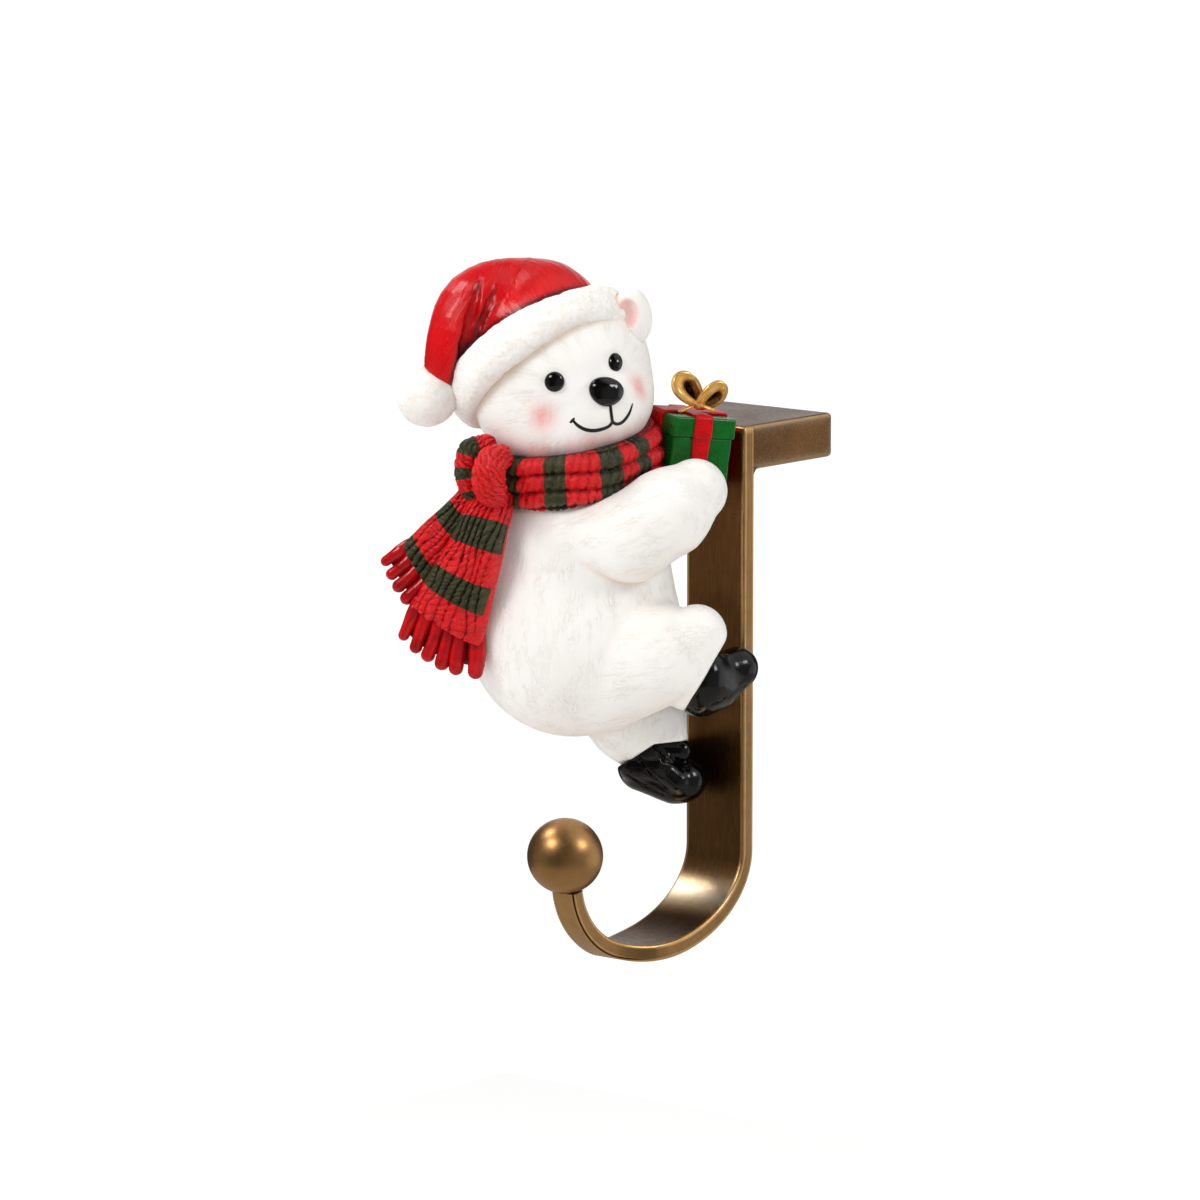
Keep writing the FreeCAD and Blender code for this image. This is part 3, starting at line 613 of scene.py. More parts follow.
def mat_knit():
    """painted knit: red and dark olive bands; the colour boundary follows the band coordinate"""
    m = Mat("scarf_knit_paint")
    st = m.attr("st", True)
    ob = m.obj()
    band = m.attr("band")
    cav = m.attr("cav")
    wob = m.noise(ob, 700.0, 2.0, 0.5)
    edge = m.math("ADD", band, m.math("MULTIPLY", m.math("SUBTRACT", wob, 0.5), 0.35))
    isgreen = m.ramp(edge, -0.06, 0.06)
    fib = m.noise(m.scale(st, (3.2, 3.2, 1.0)), 1.0, 4.0, 0.65, 1.2)
    mott = m.noise(ob, 320.0, 3.0, 0.6)
    red = m.mix(m.ramp(mott, 0.3, 0.7), lin(226, 10, 18), lin(204, 3, 12))
    red = m.mix(m.ramp(fib, 0.58, 0.82, 0.0, 0.40), red, lin(240, 50, 50))
    grn = m.mix(m.ramp(mott, 0.3, 0.7), lin(62, 62, 30), lin(44, 44, 20))
    grn = m.mix(m.ramp(fib, 0.55, 0.8, 0.0, 0.5), grn, lin(104, 100, 62))
    c = m.mix(isgreen, red, grn)
    # painted shade: cav darkens the grooves between rolls, ribs and stitches, and where the scarf meets head, body and
    # gift
    dark = m.mix(isgreen, lin(104, 2, 8), lin(12, 11, 5))
    c = m.mix(m.ramp(cav, 0.12, 0.85, 0.0, 0.92), c, dark)
    m.link("Base Color", c)
    m.link("Roughness", m.ramp(fib, 0.3, 0.75, 0.17, 0.32))
    m.set(Specular_IOR_Level=0.48)
    n1 = m.bump(fib, 0.00026, 0.8)
    m.link("Normal", n1)
    return m.m


def mat_enamel(name, c1, c2, rough=0.18, scale=160.0, dark=None, bump=0.00016, coat=0.12, spec=0.45):
    m = Mat(name)
    ob = m.obj()
    big = m.noise(ob, scale, 3.0, 0.55, 0.4)
    fine = m.noise(ob, scale * 9, 3.0, 0.6)
    cav = m.attr("cav")
    c = m.mix(m.ramp(big, 0.3, 0.72), lin(*c1), lin(*c2))
    # painted shade: where dark is given, cav darkens the enamel toward it
    if dark:
        c = m.mix(m.ramp(cav, 0.1, 0.9, 0.0, 0.9), c, lin(*dark))
    m.link("Base Color", c)
    m.link("Roughness", m.ramp(fine, 0.3, 0.75, rough * 0.75, rough * 1.6))
    m.set(Coat_Weight=coat, Coat_Roughness=0.05, Specular_IOR_Level=spec)
    n1 = m.bump(big, bump * 2.2, 0.45)
    m.link("Normal", m.bump(fine, bump * 0.25, 0.35, n1))
    return m.m


def mat_gold():
    m = Mat("gold_paint")
    ob = m.obj()
    big = m.noise(ob, 260.0, 3.0, 0.6, 0.6)
    fine = m.noise(ob, 2400.0, 3.0, 0.6)
    c = m.mix(m.ramp(big, 0.3, 0.7), lin(250, 200, 116), lin(226, 166, 82))
    # painted shade: cav darkens the gold inside the loops, round the knot and over the eye recesses
    c = m.mix(m.ramp(m.attr("cav"), 0.1, 0.9, 0.0, 0.9), c, lin(84, 40, 14))
    m.link("Base Color", c)
    m.link("Roughness", m.ramp(fine, 0.3, 0.75, 0.15, 0.28))
    m.set(Metallic=0.50, Specular_IOR_Level=0.6)
    m.link("Normal", m.bump(big, 0.00010, 0.4))
    return m.m


def mat_brass(name, flat=(92, 66, 36), bright=(176, 138, 86), dark=(44, 32, 22), rlo=0.30, rhi=0.38, lw=0.08, spk=0.16, coat=0.0):
    """antique brass: brown patina on the flats, rubbed bright on the edges, fine draw lines; on the hook it also
    carries a painted highlight and a painted reflection
    """
    m = Mat(name)
    ob = m.obj()
    st = m.attr("st", True)
    edge = m.attr("edge")
    cloud = m.noise(ob, 38.0, 5.0, 0.62, 0.5)
    fine = m.noise(ob, 900.0, 2.0, 0.5)
    lines = m.noise(m.scale(st, (2.6, 0.10, 1.0)), 1.0, 3.0, 0.6)
    spots = m.noise(ob, 300.0, 4.0, 0.65)
    c = m.mix(m.ramp(cloud, 0.32, 0.68), lin(*flat), lin(*[v * 0.84 for v in flat]))
    c = m.mix(m.ramp(spots, 0.58, 0.76, 0.0, spk), c, lin(*dark))
    c = m.mix(m.ramp(lines, 0.42, 0.72, 0.0, lw), c, lin(*bright))
    # edge: rubbed bright edges, and on the hook also the painted highlight inside the bend and the painted reflection
    # on the narrow tip
    eb = m.math("MULTIPLY", m.ramp(edge, 0.20, 0.9), m.ramp(spots, 0.25, 0.6, 0.75, 1.0))
    c = m.mix(eb, c, lin(*bright))
    # pale: a painted highlight on the inside of the hook's bend; on the plate it makes the rubbed edges paler
    c = m.mix(m.math("MULTIPLY", m.attr("pale"), m.ramp(lines, 0.25, 0.65, 0.75, 1.0)), c, lin(240, 224, 200))
    # cav: dark patina in the engraved seam and at the ball's seat, and painted shade: the figure's shadow on the strap,
    # the screws' cross recess and the ring round each screw head
    c = m.mix(m.ramp(m.attr("cav"), 0.1, 0.9, 0.0, 0.9), c, lin(20, 13, 8))
    m.link("Base Color", c)
    r = m.math("ADD", m.ramp(fine, 0.3, 0.75, rlo, rhi), m.ramp(cloud, 0.3, 0.7, -0.03, 0.05))
    m.link("Roughness", r)
    m.set(Metallic=1.0, Coat_Weight=coat, Coat_Roughness=0.37, Coat_IOR=2.0)
    n1 = m.bump(fine, 0.00002, 0.15)
    n2 = m.bump(lines, 0.00002, 0.5 * min(1.0, lw * 5), n1)
    m.link("Normal", m.bump(spots, 0.00005, min(0.2, spk), n2))
    return m.m


def mat_plain(name, c1, c2, rough, scale, metal=0.0, bump=0.0001):
    m = Mat(name)
    ob = m.obj()
    a = m.noise(ob, scale, 4.0, 0.6)
    b = m.noise(ob, scale * 7, 3.0, 0.6)
    m.link("Base Color", m.mix(m.ramp(a, 0.3, 0.7), lin(*c1), lin(*c2)))
    m.link("Roughness", m.ramp(b, 0.3, 0.7, rough * 0.8, min(1.0, rough * 1.2)))
    m.set(Metallic=metal)
    m.link("Normal", m.bump(b, bump, 0.5))
    return m.m


M_WHITE = mat_white("white_face_paint")
M_FUR = mat_white("white_fur_paint", ((0.05, 0.0, 1.0), (1.0, -0.25, 0.38), (1.0, -0.2, 0.25)))
M_TRIM = mat_fuzzy()
M_HAT = mat_hat()
M_KNIT = mat_knit()
M_BLACK = mat_enamel("black_enamel", (4, 4, 4), (6, 6, 6), 0.15, 120.0, coat=0.0, spec=0.38)
M_EYE = mat_enamel("eye_enamel", (6, 5, 5), (10, 9, 8), 0.07, 200.0, bump=0.00002)
M_GREEN = mat_enamel("gift_green_enamel", (6, 104, 30), (3, 82, 20), 0.20, 170.0, dark=(2, 26, 8), coat=0.0, spec=0.34)
M_RIBBON = mat_enamel("gift_red_enamel", (214, 3, 10), (184, 1, 6), 0.30, 200.0, dark=(60, 0, 4), coat=0.0, spec=0.22)
M_FRINGE = mat_enamel("fringe_red_enamel", (196, 5, 12), (152, 2, 7), 0.18, 240.0, dark=(48, 0, 4), coat=0.0, spec=0.42)
M_GOLD = mat_gold()
M_BRASS = mat_brass("antique_brass", flat=(112, 77, 43), bright=(216, 172, 114))
M_BALL = mat_brass("ball_brass", flat=(178, 130, 68), bright=(198, 150, 82), dark=(112, 74, 34), rlo=0.35, rhi=0.42, lw=0.03, spk=0.24, coat=0.34)
M_LINE = mat_enamel("mouth_line_paint", (24, 18, 16), (34, 26, 22), 0.35, 300.0, bump=0.00002)

# ------------------------------------------------------------ figure's masses
HC = q(567, 370, -37)                         # head centre
FACE = np.array([0.42, -0.90, -0.06])
FACE /= np.linalg.norm(FACE)


def sd_head(P):
    d = ell(P, q(565, 370, -37), (85.5 * K, 82 * K, 83.5 * K))
    d = smin(d, ell(P, q(598, 398, -60), (55 * K, 49 * K, 51 * K)), 4.0)
    d = smin(d, ell(P, q(531, 399, -50), (57 * K, 54 * K, 55 * K)), 4.0)
    d = smin(d, ell(P, q(562, 422, -48), (73 * K, 68 * K, 49 * K)), 4.0)
    d = smin(d, ell(P, q(605, 404, -97), (34 * K, 26 * K, 28 * K)), 5.5)
    # shallow ring pressed round each eye
    for c in EYES:
        r = np.sqrt(((P - c[0]) ** 2).sum(-1))
        d = d + 0.16 * np.exp(-((r - c[1]) / 0.45) ** 2)
    return d


EYES = []


EAR_R = roll(8) @ np.array([[math.cos(0.45), -math.sin(0.45), 0], [math.sin(0.45), math.cos(0.45), 0], [0, 0, 1]])


def sd_ear(P):
    d = ell(P, q(632.5, 316.5, -57), (20.5 * K, 13.0 * K, 29.0 * K), EAR_R)
    d = smax(d, -ell(P, q(629.0, 313.0, -72), (10.0 * K, 10.0 * K, 14.0 * K), EAR_R), 0.9)
    return d


ARM = [(572, 536, -90, 33), (630, 537, -110, 42), (668, 512, -114, 42), (695, 491, -98, 32)]
LEG = [(602, 680, -68, 52), (659, 653.5, -95, 51.5)]
SHIN = [(697, 634, -106, 29.5), (690, 680, -92, 31)]
FLEG = [(612, 700, -14, 42), (632, 722, -6, 41), (654, 748, -4, 33)]
FARM = [(606, 520, 16, 31), (645, 520, 24, 28), (684, 484, -8, 25)]


def chain(P, nodes, k=1.5):
    d = None
    for a, b in zip(nodes[:-1], nodes[1:]):
        c = cap(P, q(*a[:3]), q(*b[:3]), a[3] * K, b[3] * K)
        d = c if d is None else smin(d, c, k)
    return d


def plane(P, a, b, d, side, tilt=0.0, back=200):
    """half space whose edge runs through two places in the picture"""
    A, B = q(*a, d), q(*b, d)
    n = -np.cross(B - A, q(*a, d + 60.0) - A) * side
    n = n / np.linalg.norm(n)
    return (P - A) @ n


def sd_trunk(P):
    d = ell(P, q(574, 628, -40), (107.5 * K, 93 * K, 109 * K))
    d = smin(d, ell(P, q(580, 538, -40), (86 * K, 76 * K, 84 * K)), 9.0)
    return smin(d, cap(P, q(573, 470, -40), q(570, 440, -38), 68 * K, 62 * K), 2.0)


def sd_body(P):
    d = sd_trunk(P)
    up = plane(P, (682, 712), (716, 655), -78, 1) - 0.3
    d = smin(d, smax(chain(P, LEG, 2.0), up, 0.5), 2.2)
    d = smin(d, smax(chain(P, SHIN, 1.0), up, 0.5), 0.9)
    low = np.minimum(plane(P, (619, 766), (653, 743.5), -14, 1), plane(P, (640, 744.5), (690, 739), -14, 1)) - 0.3
    fl = smin(chain(P, FLEG, 2.0), cap(P, q(656, 716, -10), q(656.5, 750, -14), 31.0 * K, 31.0 * K), 2.0)
    d = smin(d, smax(fl, low, 0.5), 2.0)
    arm = smin(cap(P, q(*ARM[0][:3]), q(*ARM[1][:3]), ARM[0][3] * K, ARM[1][3] * K),
               chain(P, ARM[1:], 3.0), 4.0)
    d = smin(d, arm, 1.6)
    d = smin(d, chain(P, FARM, 3.0), 2.5)
    return d


def seat(P, d, lift=0.15, k=0.8):
    """nothing reaches behind the strap's front face"""
    y = P[..., 0] * SA + P[..., 1] * CA
    return smax(d, y + lift, k)


# the scarf's ring round the neck and the hat's band round the head
COL_C, COL_E1, COL_E2 = q(573, 459, -42), np.array([0.987, 0.0, 0.16]), np.array([0.03, -0.985, -0.17])
COL_E1 /= np.linalg.norm(COL_E1)
COL_E2 -= COL_E1 * (COL_E1 @ COL_E2)
COL_E2 /= np.linalg.norm(COL_E2)
COL_N = np.cross(COL_E2, COL_E1)
COL_N *= np.sign(COL_N[2])
COL_RU, COL_RD = 79 * K, 68 * K
BR_C, BR_E1, BR_E2 = q(542.5, 358.5, -32), np.array([0.85, 0.0, 0.527]), np.array([-0.19, -0.88, 0.45])
BR_E1 /= np.linalg.norm(BR_E1)
BR_E2 -= BR_E1 * (BR_E1 @ BR_E2)
BR_E2 /= np.linalg.norm(BR_E2)
BR_N = np.cross(BR_E1, BR_E2)
BR_N *= np.sign(BR_N[2])
BR_RU, BR_RD = 87 * K, 80 * K


def sd_ring(P, c, e1, e2, n, ru, rd, hn, hr):
    p = P - c
    a, b, h = p @ e1, p @ e2, p @ n
    r = np.sqrt((a / ru) ** 2 + (b / rd) ** 2)
    rr = (r - 1.0) * 0.5 * (ru + rd)
    kk = np.sqrt((rr / hr) ** 2 + (h / hn) ** 2)
    return (kk - 1.0) * min(hr, hn)


def sd_collar(P):
    return sd_ring(P, COL_C, COL_E1, COL_E2, COL_N, COL_RU, COL_RD, 27 * K, 15 * K)


def sd_brim(P):
    return sd_ring(P, BR_C, BR_E1, BR_E2, BR_N, BR_RU, BR_RD, 24.5 * K, 17 * K)


# gift
G_YAW, G_ROLL = 24.0, -6.6
G_W, G_L, G_H = 68.4 * K, 66 * K, 70 * K
gy = math.radians(G_YAW)
gw = np.array([math.cos(gy), math.sin(gy), 0.0])
gl = np.array([-math.sin(gy), math.cos(gy), 0.0])
gz = np.array([0.0, 0.0, 1.0])
ga = math.radians(G_ROLL)
# lean in the picture plane
lean = np.array([[math.cos(ga), 0, -math.sin(ga)], [0, 1, 0], [math.sin(ga), 0, math.cos(ga)]])
gw, gl, gz = lean @ gw, lean @ gl, lean @ gz
G_COR = q(675.0, 416.5, -75)                 # front top corner
G_C = G_COR + gw * G_W / 2 + gl * G_L / 2 - gz * G_H / 2
G_R = np.stack([gw, gl, gz], -1)


def G(a, b, c):
    """gift axes (across, deep, up) from its centre -> figure axes"""
    return G_C + np.asarray(a)[..., None] * gw + np.asarray(b)[..., None] * gl + np.asarray(c)[..., None] * gz


def sd_gift(P):
    p = (P - G_C) @ G_R
    dq = np.abs(p) - np.array([G_W, G_L, G_H]) / 2
    return np.sqrt((np.maximum(dq, 0) ** 2).sum(-1)) + np.minimum(dq.max(-1), 0)


# hat crown: dome, and the tip folded over to the left
CR_C = q(538, 336, -24)


def sd_dome(P):
    d = ell(P, CR_C, (70 * K, 74 * K, 77 * K))
    d = smin(d, ell(P, q(505, 333, -34), (41 * K, 44 * K, 45 * K)), 3.0)
    d = smin(d, ell(P, q(530, 352, -8), (60 * K, 72 * K, 60 * K)), 3.0)
    return smin(d, cap(P, q(497, 325, -50), q(466, 364, -58), 30 * K, 13 * K), 3.0)


SOCK = [tuple(v_) for v_ in smooth_path([(523, 306, -20, 47.5), (505, 304, -28, 44.0), (486, 304, -38, 39), (468, 313, -48, 32), (454.5, 339, -58, 26.5), (444, 370, -62, 19.5)], 15)]


def sd_tip(P):
    return chain(P, SOCK, 1.0)


def sd_hat_base(P):
    return smin(sd_dome(P), sd_tip(P), 1.1)


def hat_at(*pts):
    return [face_at(x, y, sd_hat_base, -130.0, 40.0) for x, y in pts]


def face_at(ix, iy, fn, d0=-175.0, d1=-40.0):
    """where the view through a place in the picture meets a shape"""
    ds = np.linspace(d0, d1, 140)
    f = fn(q(np.full(140, float(ix)), np.full(140, float(iy)), ds))
    i = int(np.argmax(f < 0))
    a, b = ds[max(i - 1, 0)], ds[i]
    for _ in range(18):
        mth = 0.5 * (a + b)
        if fn(q(ix, iy, mth)[None])[0] < 0:
            b = mth
        else:
            a = mth
    return q(ix, iy, b)


# wrinkles gathered where the tip folds over
WR = [(hat_at((480, 279), (476, 296), (471, 320), (466, 345), (460, 372)), (0.25, 0.9, 1.5, 1.7, 1.3), 1.0),
      (hat_at((497, 287), (489, 303), (480, 325), (473, 343)), (0.2, 0.6, 0.55, 0.2), 1.2)]


def sd_hat(P):
    d = sd_hat_base(P)
    for pts, r, k in WR:
        for a, b, ra, rb in zip(pts[:-1], pts[1:], r[:-1], r[1:]):
            d = smax(d, -cap(P, a, b, ra, rb), k)
    return d


def fig_all(P):
    d = np.minimum(sd_head(P), sd_body(P))
    d = np.minimum(d, sd_collar(P))
    d = np.minimum(d, sd_brim(P))
    d = np.minimum(d, sd_gift(P))
    return d


# how closely nearby shapes close in on a place; the materials darken by it as painted shade
def cavity(V, N, fn, steps=(1.0, 2.2, 4.5), w=(0.5, 0.3, 0.2)):
    c = 0.0
    for s, k in zip(steps, w):
        c = c + k * np.clip((s - fn(V + N * s)) / s, 0, 1)
    return c


def ang_frame(axis, lead=(0.0, -1.0, 0.0)):
    axis = np.asarray(axis, float) / np.linalg.norm(axis)
    for h in (np.asarray(lead, float), np.array([1.0, 0, 0])):
        e1 = h - axis * (h @ axis)
        if np.linalg.norm(e1) > 0.3:
            break
    e1 /= np.linalg.norm(e1)
    return axis, e1, np.cross(axis, e1)


def flow(V, c, axis, r):
    """(across, along) in mm about an axis"""
    ax, e1, e2 = ang_frame(np.asarray(axis, float))
    p = V - c
    return np.stack([np.arctan2(p @ e2, p @ e1) * r, p @ ax, np.zeros(len(V))], -1)


def strokes(st, seed=1, wide=0.95, long=4.6):
    """brush-fur relief, about -1..1, long along st[1]"""
    a, b = st[:, 0], st[:, 1]
    w = (vn2(a / 7, b / 7, seed + 11) - 0.5) * 5.0
    a2, b2 = a + w * 0.8, b + (vn2(a / 5, b / 5, seed + 5) - 0.5) * 3
    s = (vn2(a2 / wide, b2 / long, seed) - 0.5) * 1.2
    s += (vn2(a2 / (wide * 0.55), b2 / (long * 0.6), seed + 3) - 0.5) * 0.6
    deep = np.clip(vn2(a2 / (wide * 1.1), b2 / (long * 1.2), seed + 7) - 0.70, 0, 1)
    return s - deep * 4.0




e_l, e_r = face_at(554.4, 381.9, sd_head), face_at(615.5, 362.1, sd_head)
EYES += [(e_l, 11.2 * K), (e_r, 10.2 * K)]
# ----------------------------------------------------------------- head & ear
lo = HC - np.array([25.5, 36, 25.5])
hi = HC + np.array([25.5, 25, 25.5])
V, F = nets(sd_head, lo, hi, 0.47)
V, N = settle(sd_head, V)
ax, e1, e2 = ang_frame(FACE, (0.0, 0.0, -1.0))
p = V - HC
pn = p / np.linalg.norm(p, axis=1, keepdims=True)
pol = np.arccos(np.clip(pn @ FACE, -1, 1))
azm = np.arctan2(pn @ e2, pn @ e1)
st = np.stack([azm * 17.0, pol * 23.0, 0 * pol], -1)
fadeh = np.clip((math.pi - np.abs(azm)) / 0.12, 0, 1) * np.clip((pol - 0.25) / 0.5, 0.1, 1)
amp = 0.028 * np.clip((pol - 0.25) / 0.5, 0.15, 1)
# painted shade: darker where collar, brim, gift and ear close in on the face, less so just above the collar
cavh = (0.25 + 0.35 * np.clip((((V - COL_C) @ COL_N) - 12.0) / 8.0, 0, 1)) * cavity(V, N, lambda P: np.minimum(fig_all(P), sd_ear(P)), w=(0.6, 0.3, 0.1))
V = V + N * (strokes(st, 3) * amp)[:, None]


def spot(c, ru, rz, power=2.0):
    """soft round of paint as seen from the front of the face"""
    cc = np.asarray(c)
    dd = V - cc
    t = dd @ FACE
    r2 = (dd ** 2).sum(-1)
    return np.exp(-(r2 / (ru * ru)) ** (power / 2))


ck1, ck2 = face_at(542.5, 417, sd_head), face_at(639, 387, sd_head)
bl = 0.85 * spot(ck1, 3.5, 3.5) + 0.85 * spot(ck2, 3.2, 3.2)
# painted light: a pink band on the chin just above the red collar, standing in for light reflected up from it
band_z = (V - COL_C) @ COL_N
chin = np.exp(-((band_z - 8.6) / 2.6) ** 2) * 0.60 * np.clip(-N[:, 1] + 0.4, 0, 1)
chin *= 0.30 + 0.70 * vn2(V[:, 0] / 1.1, V[:, 2] / 5.0, 4)
bl = np.clip(bl + chin, 0, 1)
make("bear_head", V, F, M_WHITE, attrs={"st": st, "cav": cavh, "blush_and_red_bounce": bl, "fade": fadeh})

V, F = nets(sd_ear, q(631.5, 316, -64) - np.array([8, 7, 9.5]), q(631.5, 316, -64) + np.array([8, 7, 9.5]), 0.33)
V, N = settle(sd_ear, V)
inner = np.exp(-((ell(V, q(627.5, 313.5, -69), (8.0 * K, 8.5 * K, 11.5 * K), EAR_R) / 0.9).clip(0, 9)) ** 2)
st = flow(V, q(636.5, 316, -42), (0, 0, 1), 4.0)
# painted shade: cav darkens the ear's hollow and where it meets head and brim
make("bear_ear", V + N * (strokes(st, 9) * 0.03)[:, None], F, M_WHITE,
     attrs={"st": st, "cav": cavity(V, N, lambda P: np.minimum(sd_head(P), np.minimum(sd_ear(P), sd_brim(P)))), "blush_and_red_bounce": 0.62 * inner, "fade": np.full(len(V), 0.5)})

# ----------------------------------------------------------------------- body
body_fn = lambda P: seat(P, sd_body(P))
V, F = nets(body_fn, (-70, -46, -97), (6, 22, -4), 0.57)
V, N = settle(body_fn, V)
d_arm = chain(V, ARM, 3)
d_leg = np.minimum(chain(V, LEG, 2), chain(V, SHIN, 1))
d_rest = np.minimum(np.minimum(sd_trunk(V), chain(V, FLEG, 2)), chain(V, FARM, 2))
wa = np.clip(0.5 + (np.minimum(d_rest, d_leg) - d_arm) / 5.0, 0, 1)
wl = np.clip(0.5 + (np.minimum(d_rest, d_arm) - d_leg) / 5.0, 0, 1)
wa, wl = wa * wa * (3 - 2 * wa), wl * wl * (3 - 2 * wl)
rel_v = strokes(flow(V, q(576, 600, -40), (0.03, 0, 1.0), 24.0), 21, 1.15, 6.5)
rel_a = strokes(flow(V, q(*ARM[1][:3]), q(*ARM[2][:3]) - q(*ARM[0][:3]), 10.0), 22, 1.15, 6.5)
rel_l = strokes(flow(V, q(*LEG[1][:3]), q(*LEG[1][:3]) - q(*LEG[0][:3]), 13.0), 23, 1.15, 6.5)
calm = 0.35 + 0.65 * vn3(V / 9.0, 5)
# painted shade: darker in creases and where parts meet, and on faces turned downward, away from the light
cavb = np.clip(0.85 * cavity(V, N, fig_all) + 0.50 * np.clip(-N[:, 2] - 0.05, 0, 1), 0, 1)
rl = (rel_v * (1 - wa) + rel_a * wa) * (1 - wl) + rel_l * wl
V2 = V + N * (rl * 0.055 * calm)[:, None]
make("bear_body", V2, F, M_FUR, attrs={"wa": wa, "wl": wl, "cav": cavb, "blush_and_red_bounce": np.zeros(len(V)), "fade": calm})


# ---------------------------------------------------------------------- boots
def sd_boot_up(P):
    d = cap(P, q(737, 668, -55), q(716, 684, -60), 21.3 * K, 23.5 * K)
    d = smin(d, cap(P, q(716, 684, -60), q(699, 692, -66), 23.5 * K, 24.0 * K), 1.5)
    d = smin(d, ell(P, q(706, 678, -80), (24 * K, 28 * K, 30 * K)), 5.0)
    d = smax(d, plane(P, (682, 712), (716, 655), -78, -1), 0.5)
    # piped top edge, welt line, and a fold across the instep
    d = smax(d, -cap(P, *UP_G[0:2], 0.28, 0.28), 0.35)
    d = smax(d, -cap(P, *UP_G[2:4], 0.34, 0.20), 0.7)
    d = smax(d, -cap(P, *UP_G[4:6], 0.20, 0.12), 0.5)
    return seat(P, d, 0.1, 0.6)


def sd_boot_base(P):
    d = cap(P, q(737, 668, -55), q(716, 684, -60), 21.3 * K, 23.5 * K)
    d = smin(d, cap(P, q(716, 684, -60), q(699, 692, -66), 23.5 * K, 24.0 * K), 1.5)
    return smin(d, ell(P, q(706, 678, -80), (24 * K, 28 * K, 30 * K)), 5.0)


def on(fn, *pts):
    """places on a shape under picture places"""
    return [face_at(x, y, fn, -150.0, 20.0) for x, y in pts]


def sd_low_base(P):
    d = cap(P, q(642, 768, -8), q(674, 780, -10), 23 * K, 24 * K)
    d = smin(d, ell(P, q(687, 780, -14), (20 * K, 22 * K, 21 * K)), 2.2)
    d = smin(d, cap(P, q(641, 765, 4), q(667, 763, 4), 23 * K, 24 * K), 2.0)
    d = smin(d, cap(P, q(634, 764, -20), q(658, 764, -26), 17 * K, 17 * K), 1.0)
    d = smin(d, cap(P, q(656, 764, -28), q(678, 781, -30), 13 * K, 12 * K), 0.9)
    return smin(d, cap(P, q(663, 749, -20), q(681, 750.5, -22), 11.5 * K, 11.5 * K), 0.5)


def sd_boot_low(P):
    d = sd_low_base(P)
    cut_ = np.minimum(-plane(P, (619, 766), (653, 743.5), -14, -1), -plane(P, (640, 744.5), (690, 739), -14, -1))
    d = smax(d, -cut_, 0.5)
    for pts, r in ((LOW_G[0:3], (0.30, 0.45, 0.22)), (LOW_G[3:6], (0.35, 0.42, 0.2)), (LOW_G[6:9], (0.2, 0.35, 0.25))):
        d = smax(d, -cap(P, pts[0], pts[1], r[0], r[1]), 0.6)
        d = smax(d, -cap(P, pts[1], pts[2], r[1], r[2]), 0.6)
    return seat(P, d, 0.1, 0.6)


LOW_G = on(sd_low_base, (656, 748), (664, 760), (688, 766), (640, 760), (655, 778), (668, 789), (627, 774), (645, 786), (664, 795))
UP_G = on(sd_boot_base, (723, 656), (690, 711), (745, 686), (712, 704), (726, 697), (697, 709))
for nm, fn, c in (("boot_upper", sd_boot_up, q(714, 682, -62)), ("boot_lower", sd_boot_low, q(662, 772, -12))):
    V, F = nets(fn, c - np.array([14, 13, 12.5]), c + np.array([14, 13, 12.5]), 0.36)
    V, N = settle(fn, V)
    V = V + N * (0.10 * (vn3(V / 2.2, 8) - 0.5))[:, None]
    make(nm, V, F, M_BLACK, attrs={"cav": cavity(V, N, fn)})


# ------------------------------------------------------------ eyes, nose, mouth
def dome(name, c, n, ru, rv, h, mat, upv=(0, 0, 1), spin=0.0, nu=72, nv=40, egg=0.0, lumps=0.0):
    n = n / np.linalg.norm(n)
    a = np.cross(np.asarray(upv, float), n)
    a /= np.linalg.norm(a)
    b = np.cross(n, a)
    cs, sn = math.cos(math.radians(spin)), math.sin(math.radians(spin))
    a, b = a * cs + b * sn, b * cs - a * sn
    th = np.linspace(0, 2 * math.pi, nu, endpoint=False)
    ph = np.linspace(0.02, math.pi - 0.02, nv)
    T, H = np.meshgrid(th, ph, indexing="ij")
    x, y, z = np.sin(H) * np.cos(T), np.sin(H) * np.sin(T), np.cos(H)
    x = x * (1 + egg * y)
    V = c + (x * ru)[..., None] * a + (y * rv)[..., None] * b + (z * h)[..., None] * n
    if lumps:
        V = V * 1.0
        V += (vn3(V.reshape(-1, 3) / 1.5, 3).reshape(V.shape[:2])[..., None] - 0.5) * lumps * n
    V = V.reshape(-1, 3)
    F = grid_faces(nu, nv, True, False)
    top, bot = len(V), len(V) + 1
    V = np.vstack([V, c + n * h, c - n * h])
    i = np.arange(nu)
    j = (i + 1) % nu
    t1 = np.stack([np.full(nu, top), i * nv, j * nv], -1)
    t2 = np.stack([np.full(nu, bot), j * nv + nv - 1, i * nv + nv - 1], -1)
    if np.cross(V[F[0, 1]] - V[F[0, 0]], V[F[0, 2]] - V[F[0, 0]]) @ (V[F[0, 0]] - c) < 0:
        F, t1, t2 = F[:, ::-1], t1[:, ::-1], t2[:, ::-1]
    return make_mixed(name, V, F, t1 if False else np.vstack([t1, t2])[:, ::-1] if (np.cross(V[t1[0, 1]] - V[t1[0, 0]], V[t1[0, 2]] - V[t1[0, 0]]) @ n) < 0 else np.vstack([t1, t2]),
                      mat, attrs={"cav": np.zeros(len(V))})


def nrm_at(p):
    g = grad(sd_head, p[None])[0]
    return g / np.linalg.norm(g)


